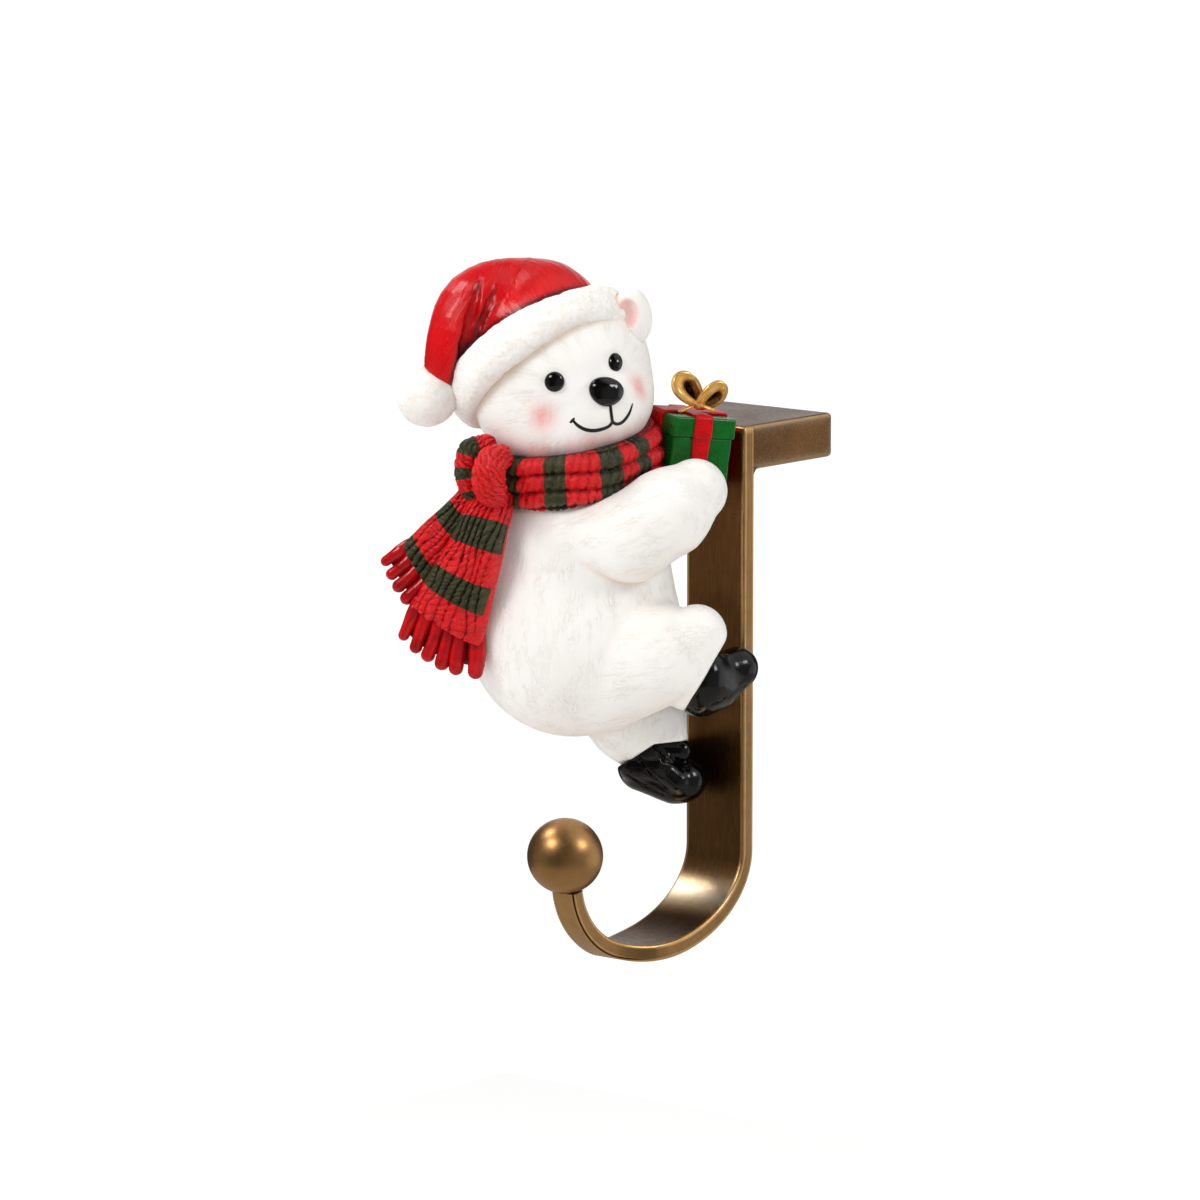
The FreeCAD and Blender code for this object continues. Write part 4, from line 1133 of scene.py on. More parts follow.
for nm, ix, iy, ru, rv in (("eye_left", 554.4, 381.9, 10.0, 10.2), ("eye_right", 615.5, 362.1, 8.0, 9.8)):
    p = face_at(ix, iy, sd_head)
    n = nrm_at(p)
    dome(nm, p - n * 0.25, n, ru * K, rv * K, 6.2 * K, M_EYE, spin=-18)
p = face_at(606.0, 392, sd_head)
n = nrm_at(p)
dome("nose", p + n * 0.30, n * 0.6 + FACE * 0.4, 17.6 * K, 14.6 * K, 9.5 * K, M_EYE, spin=-12, egg=0.12, lumps=0.22)


def face_line(name, pts, r_px, lift=0.05, n=60):
    P2 = smooth_path([(x, y, 0.0) for x, y in pts], n)
    P3 = np.array([face_at(x, y, sd_head) for x, y, _ in P2])
    for _ in range(3):
        P3[1:-1] = 0.25 * P3[:-2] + 0.5 * P3[1:-1] + 0.25 * P3[2:]
    N3 = grad(sd_head, P3)
    N3 /= np.linalg.norm(N3, axis=1, keepdims=True)
    rr = np.interp(np.linspace(0, 1, n), np.linspace(0, 1, len(r_px)), r_px) * K
    V, F, T3 = tube(P3 + N3 * lift * 0.3, rr, 12, ref=np.vstack([np.repeat(N3[:1], 6, 0), N3, np.repeat(N3[-1:], 6, 0)]), flat=0.5)
    return make_mixed(name, V, F, T3, M_LINE, attrs={"cav": np.zeros(len(V))})


face_line("mouth_stem", [(610.4, 405.5), (611.2, 413), (612.6, 423)], (1.5, 1.6, 1.6), n=24)
face_line("mouth_left", [(612.6, 422.0), (609.0, 426.2), (602.5, 429.0), (594, 430.6), (585, 429.4), (577.5, 425.2), (572.6, 420.0)],
          (1.6, 2.0, 2.2, 2.1, 1.8, 1.2))
face_line("mouth_right", [(612.6, 422.0), (616.5, 424.0), (621.7, 422.6), (627.0, 417.0), (630.4, 410.5), (632.4, 404.0)],
          (1.6, 2.0, 1.9, 1.5, 0.8))
face_line("mouth_tick", [(570.6, 422.2), (572.6, 420.4), (574.0, 418.6)], (1.1, 1.5, 1.0), n=14)

# ------------------------------------------------------------------ hat crown
V, F = nets(sd_hat, (-81, -40, -6), (-22, 24, 48), 0.52)
V, N = settle(sd_hat, V)
# painted shade: darker in the folds and where the crown meets the brim
cavv = cavity(V, N, lambda P: np.minimum(sd_hat(P), sd_brim(P)), (1.0, 2.5, 5.0))
dt = sd_tip(V) < sd_dome(V)
st = flow(V, CR_C, BR_N, 20.0)
st_b = flow(V, q(464, 314, -46), q(441, 368, -59) - q(487, 300, -36), 8.0)
st[dt] = st_b[dt]
V = V + N * (0.22 * (vn2(st[:, 0] / 1.7, st[:, 1] / 8, 3) - 0.5) + 0.14 * (vn3(V / 5.0, 7) - 0.5) + 0.06 * (vn2(st[:, 0] / 0.9, st[:, 1] / 5, 5) - 0.5))[:, None]
make("hat_crown", V, F, M_HAT, attrs={"st": st, "cav": cavv})


# ------------------------------------------------------- fluffy brim, pom-pom
def lumps(P, s, seed):
    """rounded clumps of sculpted fluff"""
    a = vn3(P / s, seed)
    b = vn3(P / (s * 0.5), seed + 1)
    c = vn3(P / (s * 0.27), seed + 2)
    return (np.abs(a - 0.5) * 1.6 - 0.35) * 0.8 + (b - 0.5) * 0.8 + (c - 0.5) * 0.45


nu, nv = 420, 76
th = np.linspace(0, 2 * math.pi, nu, endpoint=False)
ph = np.linspace(0, 2 * math.pi, nv, endpoint=False)
T, H = np.meshgrid(th, ph, indexing="ij")
wob = 1.0 + 0.05 * np.sin(3 * T + 1.0) + 0.04 * np.sin(5 * T)
cx, sx_ = np.cos(H), np.sin(H)
sq = (np.abs(cx) ** 3 + np.abs(sx_) ** 3) ** (-1 / 3) * 0.5 + 0.5
rad = 16.0 * K * cx * sq
hgt = 21.8 * K * sx_ * sq * wob
Rr = np.stack([BR_RU + rad, BR_RD + rad], -1)
P = BR_C + (Rr[..., 0] * np.cos(T))[..., None] * BR_E1 + (Rr[..., 1] * np.sin(T))[..., None] * BR_E2 + hgt[..., None] * BR_N
V = P.reshape(-1, 3)
F = grid_faces(nu, nv, True, True)
N = vnormals(V, F)
ctr = (BR_C + (BR_RU * np.cos(T))[..., None] * BR_E1 + (BR_RD * np.sin(T))[..., None] * BR_E2).reshape(-1, 3)
if ((V - ctr) * N).sum() < 0:
    F, N = F[:, ::-1], -N
st = np.stack([T.ravel() * 22, H.ravel() * 5.3, 0 * T.ravel()], -1)
V = V + N * (lumps(V, 2.6, 30) * 0.30 + lumps(V, 6.5, 33) * 0.25)[:, None]
# painted shade: cav darkens the brim where it tucks against head, crown and ear
make("hat_brim", V, F, M_TRIM, attrs={"st": st, "cav": cavity(V, N, lambda P: np.minimum(np.minimum(sd_head(P), sd_hat(P)), np.minimum(sd_brim(P), sd_ear(P))))})

pc = q(427, 396, -60)
pom = lambda P: ell(P, pc, (30.5 * K,) * 3)
V, F = nets(pom, pc - 9.5, pc + 9.5, 0.36)
V, N = settle(pom, V)
V = V + N * (lumps(V, 2.4, 41) * 0.20 + lumps(V, 6.0, 43) * 0.12)[:, None]
# painted shade: cav darkens the pom-pom where it meets the hat's tip
make("pompom", V, F, M_TRIM, attrs={"st": flow(V, pc, (0.3, 0, 1), 8.0), "cav": cavity(V, N, lambda P: np.minimum(pom(P), sd_tip(P)))})


# --------------------------------------------------------------- scarf collar
def knit(s, y, seed=0, pitch=2.3, lean_=0.9):
    """slanted stitches in rows: s along in mm, y counts the rows; 0..1"""
    row = np.floor(y)
    fy = (y - row - 0.5) * 2
    x = (s + lean_ * fy) / pitch + 0.41 * row + (vn2(s / 3.2, y * 1.3, seed) - 0.5) * 0.9
    fx = (x - np.floor(x)) * 2 - 1
    return (1 - np.abs(fx) ** 2.4) * (1 - 0.45 * np.abs(fy) ** 3)


nu, nv = 620, 84
th = np.linspace(0, 2 * math.pi, nu, endpoint=False)
# v goes round the section; the outer half carries three rolls
vv = np.linspace(0, 1, nv, endpoint=False)
T, Vv = np.meshgrid(th, vv, indexing="ij")
H = Vv * 2 * math.pi
cx, sx_ = np.cos(H), np.sin(H)
sq = (np.abs(cx) ** 4 + np.abs(sx_) ** 4) ** (-0.25)
rad0, hgt0 = 13.0 * K * cx * sq, 26.5 * K * sx_ * sq
outer = np.clip(cx * 1.6 + 0.35, 0, 1)
tier = hgt0 / (26.5 * K)                                   # -1 .. 1
wav = 0.10 * np.sin(2 * T + 0.4) + 0.06 * np.sin(5 * T + 2)
lobe = np.sqrt(np.clip(1 - (((tier + 1 + wav * outer) * 1.5) % 1.0 * 2 - 1) ** 2, 0, 1))
rad = rad0 + outer * (lobe - 0.75) * 8.5 * K
ea, eb = COL_RU + rad, COL_RD + rad
P = COL_C + (ea * np.cos(T))[..., None] * COL_E1 + (eb * np.sin(T))[..., None] * COL_E2 + hgt0[..., None] * COL_N
V = P.reshape(-1, 3)
F = grid_faces(nu, nv, True, True)
N = vnormals(V, F)
ctr = (COL_C + (COL_RU * np.cos(T))[..., None] * COL_E1 + (COL_RD * np.sin(T))[..., None] * COL_E2).reshape(-1, 3)
if ((V - ctr) * N).sum() < 0:
    F, N = F[:, ::-1], -N
sarc = (T * 0.5 * (COL_RU + COL_RD + 30 * K)).ravel()
tarc = hgt0.ravel()
kn = knit(sarc, ((tier + 1 + wav * outer) * 1.5).ravel(), 2)
kn = 0.75 * kn + 0.25 * knit(sarc, ((tier + 1 + wav * outer) * 3.0).ravel(), 5, 1.5, -0.5)
V = V + N * ((kn - 0.5) * 0.85 * outer.ravel() + (vn3(V / 1.3, 6) - 0.5) * 0.34 * outer.ravel())[:, None]
# painted shade: darker in the grooves between the rolls, on the low stitches, and where the collar meets head, body and
# gift
groove = (1 - lobe.ravel()) ** 2 * outer.ravel()
cavk = np.clip(0.75 * groove + 0.30 * (1 - kn) + cavity(V, N, lambda P: np.minimum(sd_head(P), np.minimum(sd_body(P), sd_gift(P))), (1.0, 2.0), (0.6, 0.4)), 0, 1)
# colour bands: green between these picture columns on the front, carried on behind
px_front = lambda ang: 573 + (COL_RU / K + 14) * np.cos(ang)
edges_px = [(501, 516), (542, 564), (599, 622), (637, 650)]
ang_edges = [sorted([math.acos(max(-1, min(1, (b - 573) / (COL_RU / K + 14)))), math.acos(max(-1, min(1, (a - 573) / (COL_RU / K + 14))))]) for a, b in edges_px]
back = [(-0.55, -0.30), (-1.05, -0.80), (-1.55, -1.30), (-2.05, -1.80), (-2.55, -2.30)]
Tm = (T + math.pi) % (2 * math.pi) - math.pi              # -pi .. pi, front is +pi/2
slant = 0.035 * tier
bandv = np.full(T.shape, -9.0)
for a, b in [tuple(x) for x in ang_edges] + back:
    inside = np.minimum(Tm + slant - a, b - Tm - slant) * 22.0
    bandv = np.maximum(bandv, inside)
make("scarf_collar", V, F, M_KNIT, attrs={"st": np.stack([sarc, tarc, 0 * sarc], -1), "cav": cavk, "band": np.clip(bandv.ravel() / 1.2, -1, 1)})


def roll_piece(name, pts, rads, bands, flat=0.8, n=150, m=120, ref=(0, -1, 0), seed=3, amp=0.7):
    """a knitted roll along pts (ix, iy, d), bands = green stretches 0..1 along it"""
    path = smooth_path(q(*np.array(pts, float).T), n)
    rr = np.interp(np.linspace(0, 1, n), np.linspace(0, 1, len(rads)), rads) * K
    V, F4, F3 = tube(path, rr, m, ref=ref, flat=flat)
    n2 = n + 12
    s = np.linspace(0, 1, n2)
    L = np.linalg.norm(np.diff(path, axis=0), axis=1).sum() + 2 * rr.mean()
    S, A = np.meshgrid(s, np.linspace(0, 2 * math.pi, m, endpoint=False), indexing="ij")
    S, A = np.append(S.ravel(), [0, 1]), np.append(A.ravel(), [0, 0])
    tt = A * rr.mean()
    tris = np.vstack([F4[:, [0, 1, 2]], F4[:, [0, 2, 3]], F3])
    N = np.zeros_like(V)
    nn = np.cross(V[tris[:, 1]] - V[tris[:, 0]], V[tris[:, 2]] - V[tris[:, 0]])
    for i in range(3):
        np.add.at(N, tris[:, i], nn)
    N /= np.maximum(np.linalg.norm(N, axis=1, keepdims=True), 1e-12)
    kn = knit(tt, S * L / 2.5, seed, 1.9)
    V = V + N * ((kn - 0.5) * amp + (vn3(V / 1.3, 6) - 0.5) * 0.34)[:, None]
    bandv = np.full(len(S), -9.0)
    for a, b in bands:
        bandv = np.maximum(bandv, np.minimum(S - a, b - S) * L)
    # painted shade: darker between stitches and where the roll meets collar and body
    cavv = np.clip(0.45 * (1 - kn) + 0.6 * cavity(V, N, lambda P: np.minimum(sd_collar(P), sd_body(P)), (1.0, 2.0), (0.5, 0.5)), 0, 1)
    return make_mixed(name, V, F4, F3, M_KNIT, attrs={"st": np.stack([tt, S * L, 0 * S], -1), "cav": cavv, "band": np.clip(bandv / 1.2, -1, 1)})


roll_piece("scarf_knot", [(502, 457, -106), (493, 461, -119), (489, 473, -126), (490, 488, -124), (498, 502, -108)], (12, 15, 16, 15, 9), [], flat=0.75)
roll_piece("scarf_knot_loop", [(487, 444, -92), (472, 450, -97), (467, 466, -99), (469, 483, -99), (476, 497, -96)], (9, 12, 11.5, 11.5, 9),
           [(0.18, 0.36), (0.52, 0.66), (0.80, 0.93)], flat=0.8, seed=5)


# ---------------------------------------------------------------- scarf tails
def tail(name, left, right, thick, greens, ribs, na=170, nb=190, nback=44, seed=1, bulge=2.0):
    """left and right edges as (ix, iy, d) lists from the knot to the hem"""
    Lp = smooth_path(q(*np.array(left, float).T), nb)
    Rp = smooth_path(q(*np.array(right, float).T), nb)
    across = Rp - Lp
    width = np.linalg.norm(across, axis=1)
    e = across / width[:, None]
    mid = 0.5 * (Lp + Rp)
    along = np.gradient(mid, axis=0)
    along /= np.linalg.norm(along, axis=1, keepdims=True)
    nrm = np.cross(along, e)
    nrm /= np.linalg.norm(nrm, axis=1, keepdims=True)
    if nrm[:, 1].mean() > 0:
        nrm = -nrm
    b = np.linspace(0, 1, nb)
    # front from left to right, then the back from right to left
    a_f = np.linspace(0, 1, na)
    a_b = np.linspace(1, 0, nback + 2)[1:-1]
    aa = np.concatenate([a_f, a_b])
    front = np.concatenate([np.ones(na), np.zeros(nback)])
    A, B = np.meshgrid(aa, b, indexing="xy")              # (nb, na+nback)
    FR = np.repeat(front[None], nb, 0)
    x = 2 * A - 1
    edge = np.sqrt(np.clip(1 - np.abs(x) ** 5, 0, 1))
    lim = 0.992 - 0.02 * B - 0.09 * B ** 4
    side = np.clip((A - lim) / (1 - lim), 0, 1)
    edge = np.minimum(edge, np.sqrt(np.clip(1 - side ** 1.6, 0, 1)))
    knitted = np.clip((lim + 0.01 - A) / 0.03, 0, 1)
    crown = bulge * (1 - x ** 2)
    half = thick * 0.5
    h_front = crown + half * edge
    h_back = crown * 0.8 - half * edge
    s_len = np.concatenate([[0], np.cumsum(np.linalg.norm(np.diff(mid, axis=0), axis=1))])
    S = np.repeat(s_len[:, None], A.shape[1], 1)
    Wd = A * width[:, None]
    # rope-like ribs that wander a little, each twisted
    nr = ribs
    ph = A * nr + (vn2(A * 5, S / 7, seed) - 0.5) * 0.9
    fr = ph - np.floor(ph)
    rib = np.sqrt(np.clip(1 - (2 * fr - 1) ** 2, 0, 1))
    k = np.floor(ph)
    tw = S / 2.1 + k * 0.37 + (fr - 0.5) * 0.9 + (vn2(k * 3.1, S / 4, seed + 2) - 0.5) * 1.8
    ft = np.abs((tw - np.floor(tw)) - 0.5) * 2
    st_rel = 1 - ft ** 2.4
    keep = 0.35 + 0.65 * vn2(A * 6, S / 5, seed + 9)
    gr = np.full(A.shape, -9.0)
    for g0, g1 in greens:
        gr = np.maximum(gr, np.minimum(B - g0, g1 - B) * s_len[-1])
    isred = np.clip(0.5 - gr / 1.0, 0, 1)
    peb = vn2(A * width.mean() / 1.7, S / 2.1, seed + 20) * 0.6 + vn2(A * width.mean() / 1.0, S / 1.3, seed + 21) * 0.4
    rel = ((rib - 0.7) * (1.05 - 0.35 * isred) + (st_rel - 0.5) * 0.55 * keep + (peb - 0.5) * (0.25 + 0.85 * isred)) * knitted
    h = np.where(FR > 0, h_front + rel * edge, h_back)
    P = Lp[:, None] + across[:, None] * A[..., None] + nrm[:, None] * h[..., None]
    V = P.reshape(-1, 3)
    m = A.shape[1]
    F = grid_faces(nb, m, False, True)
    ring0, ring1 = np.arange(m), (nb - 1) * m + np.arange(m)
    c0, c1 = len(V), len(V) + 1
    V = np.vstack([V, V[ring0].mean(0), V[ring1].mean(0)])
    j = np.arange(m)
    j2 = (j + 1) % m
    F3 = np.vstack([np.stack([np.full(m, c0), j2, j], -1), np.stack([np.full(m, c1), (nb - 1) * m + j, (nb - 1) * m + j2], -1)])
    nf = np.cross(V[F[:, 2]] - V[F[:, 0]], V[F[:, 3]] - V[F[:, 1]])
    if (nf[(np.arange(len(F)) % m) < na - 1] @ nrm.mean(0)).sum() < 0:
        F, F3 = F[:, ::-1], F3[:, ::-1]
    bandv = np.full(A.shape, -9.0)
    tilt_ = 0.0
    for g0, g1 in greens:
        bandv = np.maximum(bandv, np.minimum(B - g0, g1 - B) * s_len[-1])
    bandv = np.where(A > lim, -1.0, bandv)
    bandv = np.append(bandv.ravel(), [-1, -1])
    # painted shade: darker in the grooves between ribs and twists and in the pits of the red pebbling
    cavv = np.clip((1 - rib) * (0.85 - 0.25 * isred) + (1 - st_rel) * 0.25 + np.clip(0.45 - peb, 0, 1) * 1.3 * isred, 0, 1) * FR * knitted
    cavv = np.append(cavv.ravel(), [0.3, 0.3])
    stv = np.stack([np.append(Wd.ravel(), [0, 0]), np.append(S.ravel(), [0, 0]), np.zeros(len(V))], -1)
    make_mixed(name, V, F, F3, M_KNIT, attrs={"st": stv, "cav": cavv, "band": np.clip(bandv / 1.2, -1, 1)})
    return Lp, Rp, nrm


TL1 = [(474, 492, -92), (467, 506, -95), (453, 533, -95), (440, 556, -92), (426, 578, -86), (413, 603, -82)]
TR1 = [(515, 498, -90), (513, 512, -99), (508, 534, -110), (502.5, 561, -115), (495, 592, -114), (488, 622, -109), (482, 646, -104)]
TL2 = [(463, 486, -84), (443, 506, -78), (426, 521, -72), (415, 532, -68), (404, 543, -64)]
TR2 = [(486, 505, -92), (470, 532, -86), (452, 560, -78), (434, 590, -72)]
tail("scarf_tail_back", TL2, TR2, 4.0, [(0.20, 0.45), (0.83, 1.02)], 6, na=110, nb=130, seed=14, bulge=1.2)
tail("scarf_tail_front", TL1, TR1, 4.4, [(0.20, 0.39), (0.61, 0.80)], 8, seed=4, bulge=2.2)


def fringe(name, roots, tips, r0, r1, seed):
    """moulded tassels, each a thick drop with a groove each side"""
    for i, (a, b) in enumerate(zip(roots, tips)):
        A, B = q(*a), q(*b)
        mid_ = 0.5 * (A + B) + np.array([0.3 * math.sin(i * 2.1 + seed), -0.5, 0.2 * math.cos(i * 1.7)])
        path = smooth_path([A, mid_, B], 30)
        t = np.linspace(0, 1, 30)
        rr = (r0[i] + (r1[i] - r0[i]) * t + 0.5 * np.sin(t * 5 + i)) * K
        V, F4, F3 = tube(path, rr, 28, flat=0.9)
        n_ = vn3(V / 1.3, seed + i) - 0.5
        c_ = V.mean(0)
        V = V + (V - c_) / np.maximum(np.linalg.norm(V - c_, axis=1, keepdims=True), 1e-6) * (n_ * 0.12)[:, None]
        make_mixed("%s_%d" % (name, i), V, F4, F3, M_FRINGE, attrs={"cav": np.zeros(len(V))})


fringe("fringe_front",
       [(419, 602, -79), (430, 609, -83), (441, 616, -87), (452, 623, -91), (463, 629, -95), (477.5, 634, -99)],
       [(404, 635, -80), (416, 647, -84), (428, 655, -88), (442, 663, -92), (456, 668, -95), (475.5, 671.5, -99)],
       (7.2, 7.4, 7.4, 7.4, 7.6, 9.0), (6.2, 6.6, 6.8, 7.0, 7.2, 8.0), 3)
fringe("fringe_back",
       [(409, 545, -64), (415, 555, -66), (421, 566, -68), (428, 578, -70), (434, 589, -72)],
       [(386, 561, -64), (392, 574, -66), (399, 586, -68), (407, 598, -70), (416, 608, -72)],
       (6.6, 6.8, 6.8, 6.8, 6.6), (5.8, 6.2, 6.4, 6.4, 6.0), 7)


def web(name, top, bot, thick):
    """the solid sheet that carries the tassels, painted dark all over as the shade between them"""
    n1_, n2_ = 60, 24
    Tp = smooth_path(q(*np.array(top, float).T), n1_)
    Bp = smooth_path(q(*np.array(bot, float).T), n1_)
    b_ = np.linspace(0, 1, n2_)
    S0 = Tp[:, None] * (1 - b_)[None, :, None] + Bp[:, None] * b_[None, :, None]
    nn_ = np.cross(Tp[-1] - Tp[0], Bp.mean(0) - Tp.mean(0))
    nn_ /= np.linalg.norm(nn_)
    if nn_[1] > 0:
        nn_ = -nn_
    aa_ = np.linspace(-1, 1, n1_)[:, None]
    prof = np.sqrt(np.clip(1 - np.abs(aa_) ** 6, 0, 1)) * np.sqrt(np.clip(1 - np.abs(2 * b_[None] - 1) ** 6, 0, 1))
    wav_ = 0.12 * np.sin(np.linspace(0, 34, n1_))[:, None]
    Vf = S0 + nn_ * (prof * (thick / 2 + wav_))[..., None]
    Vb_ = S0 - nn_ * (prof * (thick / 2 + wav_))[..., None]
    V = np.vstack([Vf.reshape(-1, 3), Vb_.reshape(-1, 3)])
    Ff = grid_faces(n1_, n2_, False, False)
    Fb_ = grid_faces(n1_, n2_, False, False, n1_ * n2_, flip=True)
    rim = [i * n2_ for i in range(n1_)] + [(n1_ - 1) * n2_ + j for j in range(1, n2_)] + [i * n2_ + n2_ - 1 for i in range(n1_ - 2, -1, -1)] + [j for j in range(n2_ - 2, 0, -1)]
    rim = np.array(rim)
    nx_ = np.roll(rim, -1)
    Fr = np.stack([rim, rim + n1_ * n2_, nx_ + n1_ * n2_, nx_], -1)
    F = np.vstack([Ff, Fb_])
    g0 = np.cross(V[Ff[800, 2]] - V[Ff[800, 0]], V[Ff[800, 3]] - V[Ff[800, 1]])
    if g0 @ nn_ < 0:
        F, Fr = F[:, ::-1], Fr
    else:
        Fr = Fr[:, ::-1]
    # painted shade: cav 0.75 over the whole sheet
    make(name, V, np.vstack([F, Fr]), M_FRINGE, attrs={"cav": np.full(len(V), 0.75)})


web("fringe_front_web", [(416, 600, -76), (432, 610, -80), (450, 621, -86), (466, 630, -90), (482, 638, -95)],
    [(404, 630, -76), (422, 646, -80), (438, 655, -85), (455, 662, -89), (479, 667, -95)], 2.6)
web("fringe_back_web", [(406, 541, -61), (414, 553, -63), (422, 567, -65), (430, 581, -67), (437, 592, -69)],
    [(388, 557, -61), (396, 572, -63), (404, 586, -65), (413, 598, -67), (420, 606, -69)], 2.2)


# ----------------------------------------------------------------------- gift
def rbox(name, c, half, bev, mat, wob_=0.10, cuts=16, node="bear_figure", slot="painted_resin", rmat=None, conv=W, taper=0.0, seed=0):
    """box with rounded edges and hand-made faces that aren't quite flat, in gift axes"""
    rmat = G_R if rmat is None else rmat
    bm = bmesh.new()
    bmesh.ops.create_cube(bm, size=2.0)
    for v in bm.verts:
        v.co = Vector((v.co.x * half[0] * (1 + taper * v.co.z), v.co.y * half[1] * (1 + taper * v.co.z), v.co.z * half[2]))
    bmesh.ops.bevel(bm, geom=list(bm.edges) + list(bm.verts), offset=bev, offset_type="OFFSET", segments=5, profile=0.6, affect="EDGES", clamp_overlap=True)
    for _ in range(3):
        es = [e for e in bm.edges if e.calc_length() > max(half) * 0.22]
        if not es:
            break
        bmesh.ops.subdivide_edges(bm, edges=es, cuts=1, use_grid_fill=True)
    bmesh.ops.triangulate(bm, faces=[f for f in bm.faces if len(f.verts) > 4])
    bm.normal_update()
    V = np.array([v.co[:] for v in bm.verts])
    N = np.array([v.normal[:] for v in bm.verts])
    V = V + N * ((vn3(V / 4.0, seed) - 0.5) * wob_ * 2 + (vn3(V / 1.6, seed + 1) - 0.5) * wob_)[:, None]
    V = c + V @ np.asarray(rmat).T
    fs = [[v.index for v in f.verts] for f in bm.faces]
    bm.free()
    F4 = np.array([f for f in fs if len(f) == 4])
    F3 = np.array([f for f in fs if len(f) == 3]).reshape(-1, 3)
    return make_mixed(name, V, F4, F3, mat, attrs={"cav": np.zeros(len(V))}, node=node, slot=slot, conv=conv)


hw_, hl_, hh_ = G_W / 2, G_L / 2, G_H / 2
lid_h = 20.5 * K
box_h = G_H - lid_h
rbox("gift_box", G_C - gz * (lid_h / 2), (hw_ - 0.55, hl_ - 0.55, box_h / 2), 0.55, M_GREEN, 0.10, seed=5)
rbox("gift_lid", G_C + gz * (hh_ - lid_h / 2), (hw_, hl_, lid_h / 2), 0.75, M_GREEN, 0.10, seed=9)


def band(name, axis, half_w, off, lift=0.26):
    """red ribbon wrapped round the box across one axis"""
    n = 4
    pieces = []
    hx, hy = (hw_, hl_)
    t = 0.42
    # closed loop over lid, down the sides, under the box, following the lid's step
    zt, zl, zb = hh_ + lift, hh_ - lid_h, -hh_ - lift * 0.4
    side = (hl_ if axis == "deep" else hw_)
    loop = [(-side - lift, zt - 0.9), (-side - lift + 0.25, zt - 0.25), (-side + 0.6, zt), (0, zt + 0.08), (side - 0.6, zt), (side + lift - 0.25, zt - 0.25),
            (side + lift, zt - 0.9), (side + lift, zl + 0.4), (side + lift - 0.42, zl - 0.3), (side + lift - 0.5, 0 - 1.0), (side + lift - 0.5, zb + 0.7), (side - 0.5, zb),
            (0, zb), (-side + 0.5, zb), (-side - lift + 0.5, zb + 0.7), (-side - lift + 0.5, -1.0), (-side - lift + 0.42, zl - 0.3), (-side - lift, zl + 0.4)]
    P2 = smooth_path([(a, 0.0, b) for a, b in loop], 260, closed=True)
    cc = P2.mean(0)
    Tn = np.roll(P2, -1, 0) - np.roll(P2, 1, 0)
    Tn /= np.linalg.norm(Tn, axis=1, keepdims=True)
    Nn = np.stack([Tn[:, 2], 0 * Tn[:, 0], -Tn[:, 0]], -1)
    if (Nn * (P2 - cc)).sum() < 0:
        Nn = -Nn
    m_ = 22
    ang = np.linspace(0, 2 * math.pi, m_, endpoint=False)
    cw = np.sign(np.cos(ang)) * np.abs(np.cos(ang)) ** 0.35 * half_w
    ch = np.sign(np.sin(ang)) * np.abs(np.sin(ang)) ** 0.5 * t
    V = []
    for i in range(len(P2)):
        w_ = cw * (1 + 0.06 * math.sin(i * 0.11 + off))
        V.append(P2[i][None] + np.outer(ch, Nn[i]) + np.outer(w_, (0, 1, 0)))
    V = np.array(V).reshape(-1, 3)
    V[:, 1] += off
    if axis == "deep":                                      # band lies in the deep-up plane
        V = V[:, [1, 0, 2]]
    F = grid_faces(len(P2), m_, True, True)
    Vw = G_C + V @ G_R.T
    Nv = vnormals(Vw, F)
    ctr_ = np.repeat((G_C + (P2 + np.array([0, off, 0]))[:, [1, 0, 2]] @ G_R.T) if axis == "deep" else (G_C + (P2 + np.array([0, off, 0])) @ G_R.T), m_, 0)
    if ((Vw - ctr_) * Nv).sum() < 0:
        F = F[:, ::-1]
    make(name, Vw, F, M_RIBBON, attrs={"cav": np.zeros(len(Vw))})


band("gift_ribbon_front", "deep", 8.6 * K / 0.93, -2.0 * K)
band("gift_ribbon_side", "wide", 16.5 * K, 8.5 * K)

# bow: two fat loops whose eyes are filled by recesses painted dark as shade, a knot, and two short ends
bow0 = G_C + gz * (hh_ + 0.7) + gw * (-2.0 * K)


def bow_loop(name, pts, rads, ref, flat=2.0):
    P2 = smooth_path([bow_at(*p) for p in pts], 90)
    t = np.linspace(0, 1, 90)
    rr = np.interp(t, np.linspace(0, 1, len(rads)), rads) * K
    V, F4, F3 = tube(P2, rr, 40, ref=ref, flat=flat)
    mid_ = P2.mean(0)
    T_l = np.gradient(P2, axis=0)
    T_l /= np.linalg.norm(T_l, axis=1, keepdims=True)
    near_ = np.argmin(((V[:, None] - P2[None]) ** 2).sum(-1), axis=1)
    inw = mid_ - P2[near_]
    inw -= (inw * T_l[near_]).sum(-1, keepdims=True) * T_l[near_]
    inw /= np.maximum(np.linalg.norm(inw, axis=1, keepdims=True), 1e-6)
    side_ = ((V - P2[near_]) * inw).sum(-1) / np.maximum(rr[near_], 1e-6)
    # painted shade: darker on the inner side of each loop and round the knot
    cv = 0.85 * np.clip(side_ * 1.5 - 0.25, 0, 1) + 0.9 * np.exp(-(np.linalg.norm(V - bow_at(697, 405, -44), axis=1) / 1.3) ** 2)
    make_mixed(name, V, F4, F3, M_GOLD, attrs={"cav": np.clip(cv, 0, 1)})


def bow_at(ix, iy, d):
    return q(ix, iy, d)


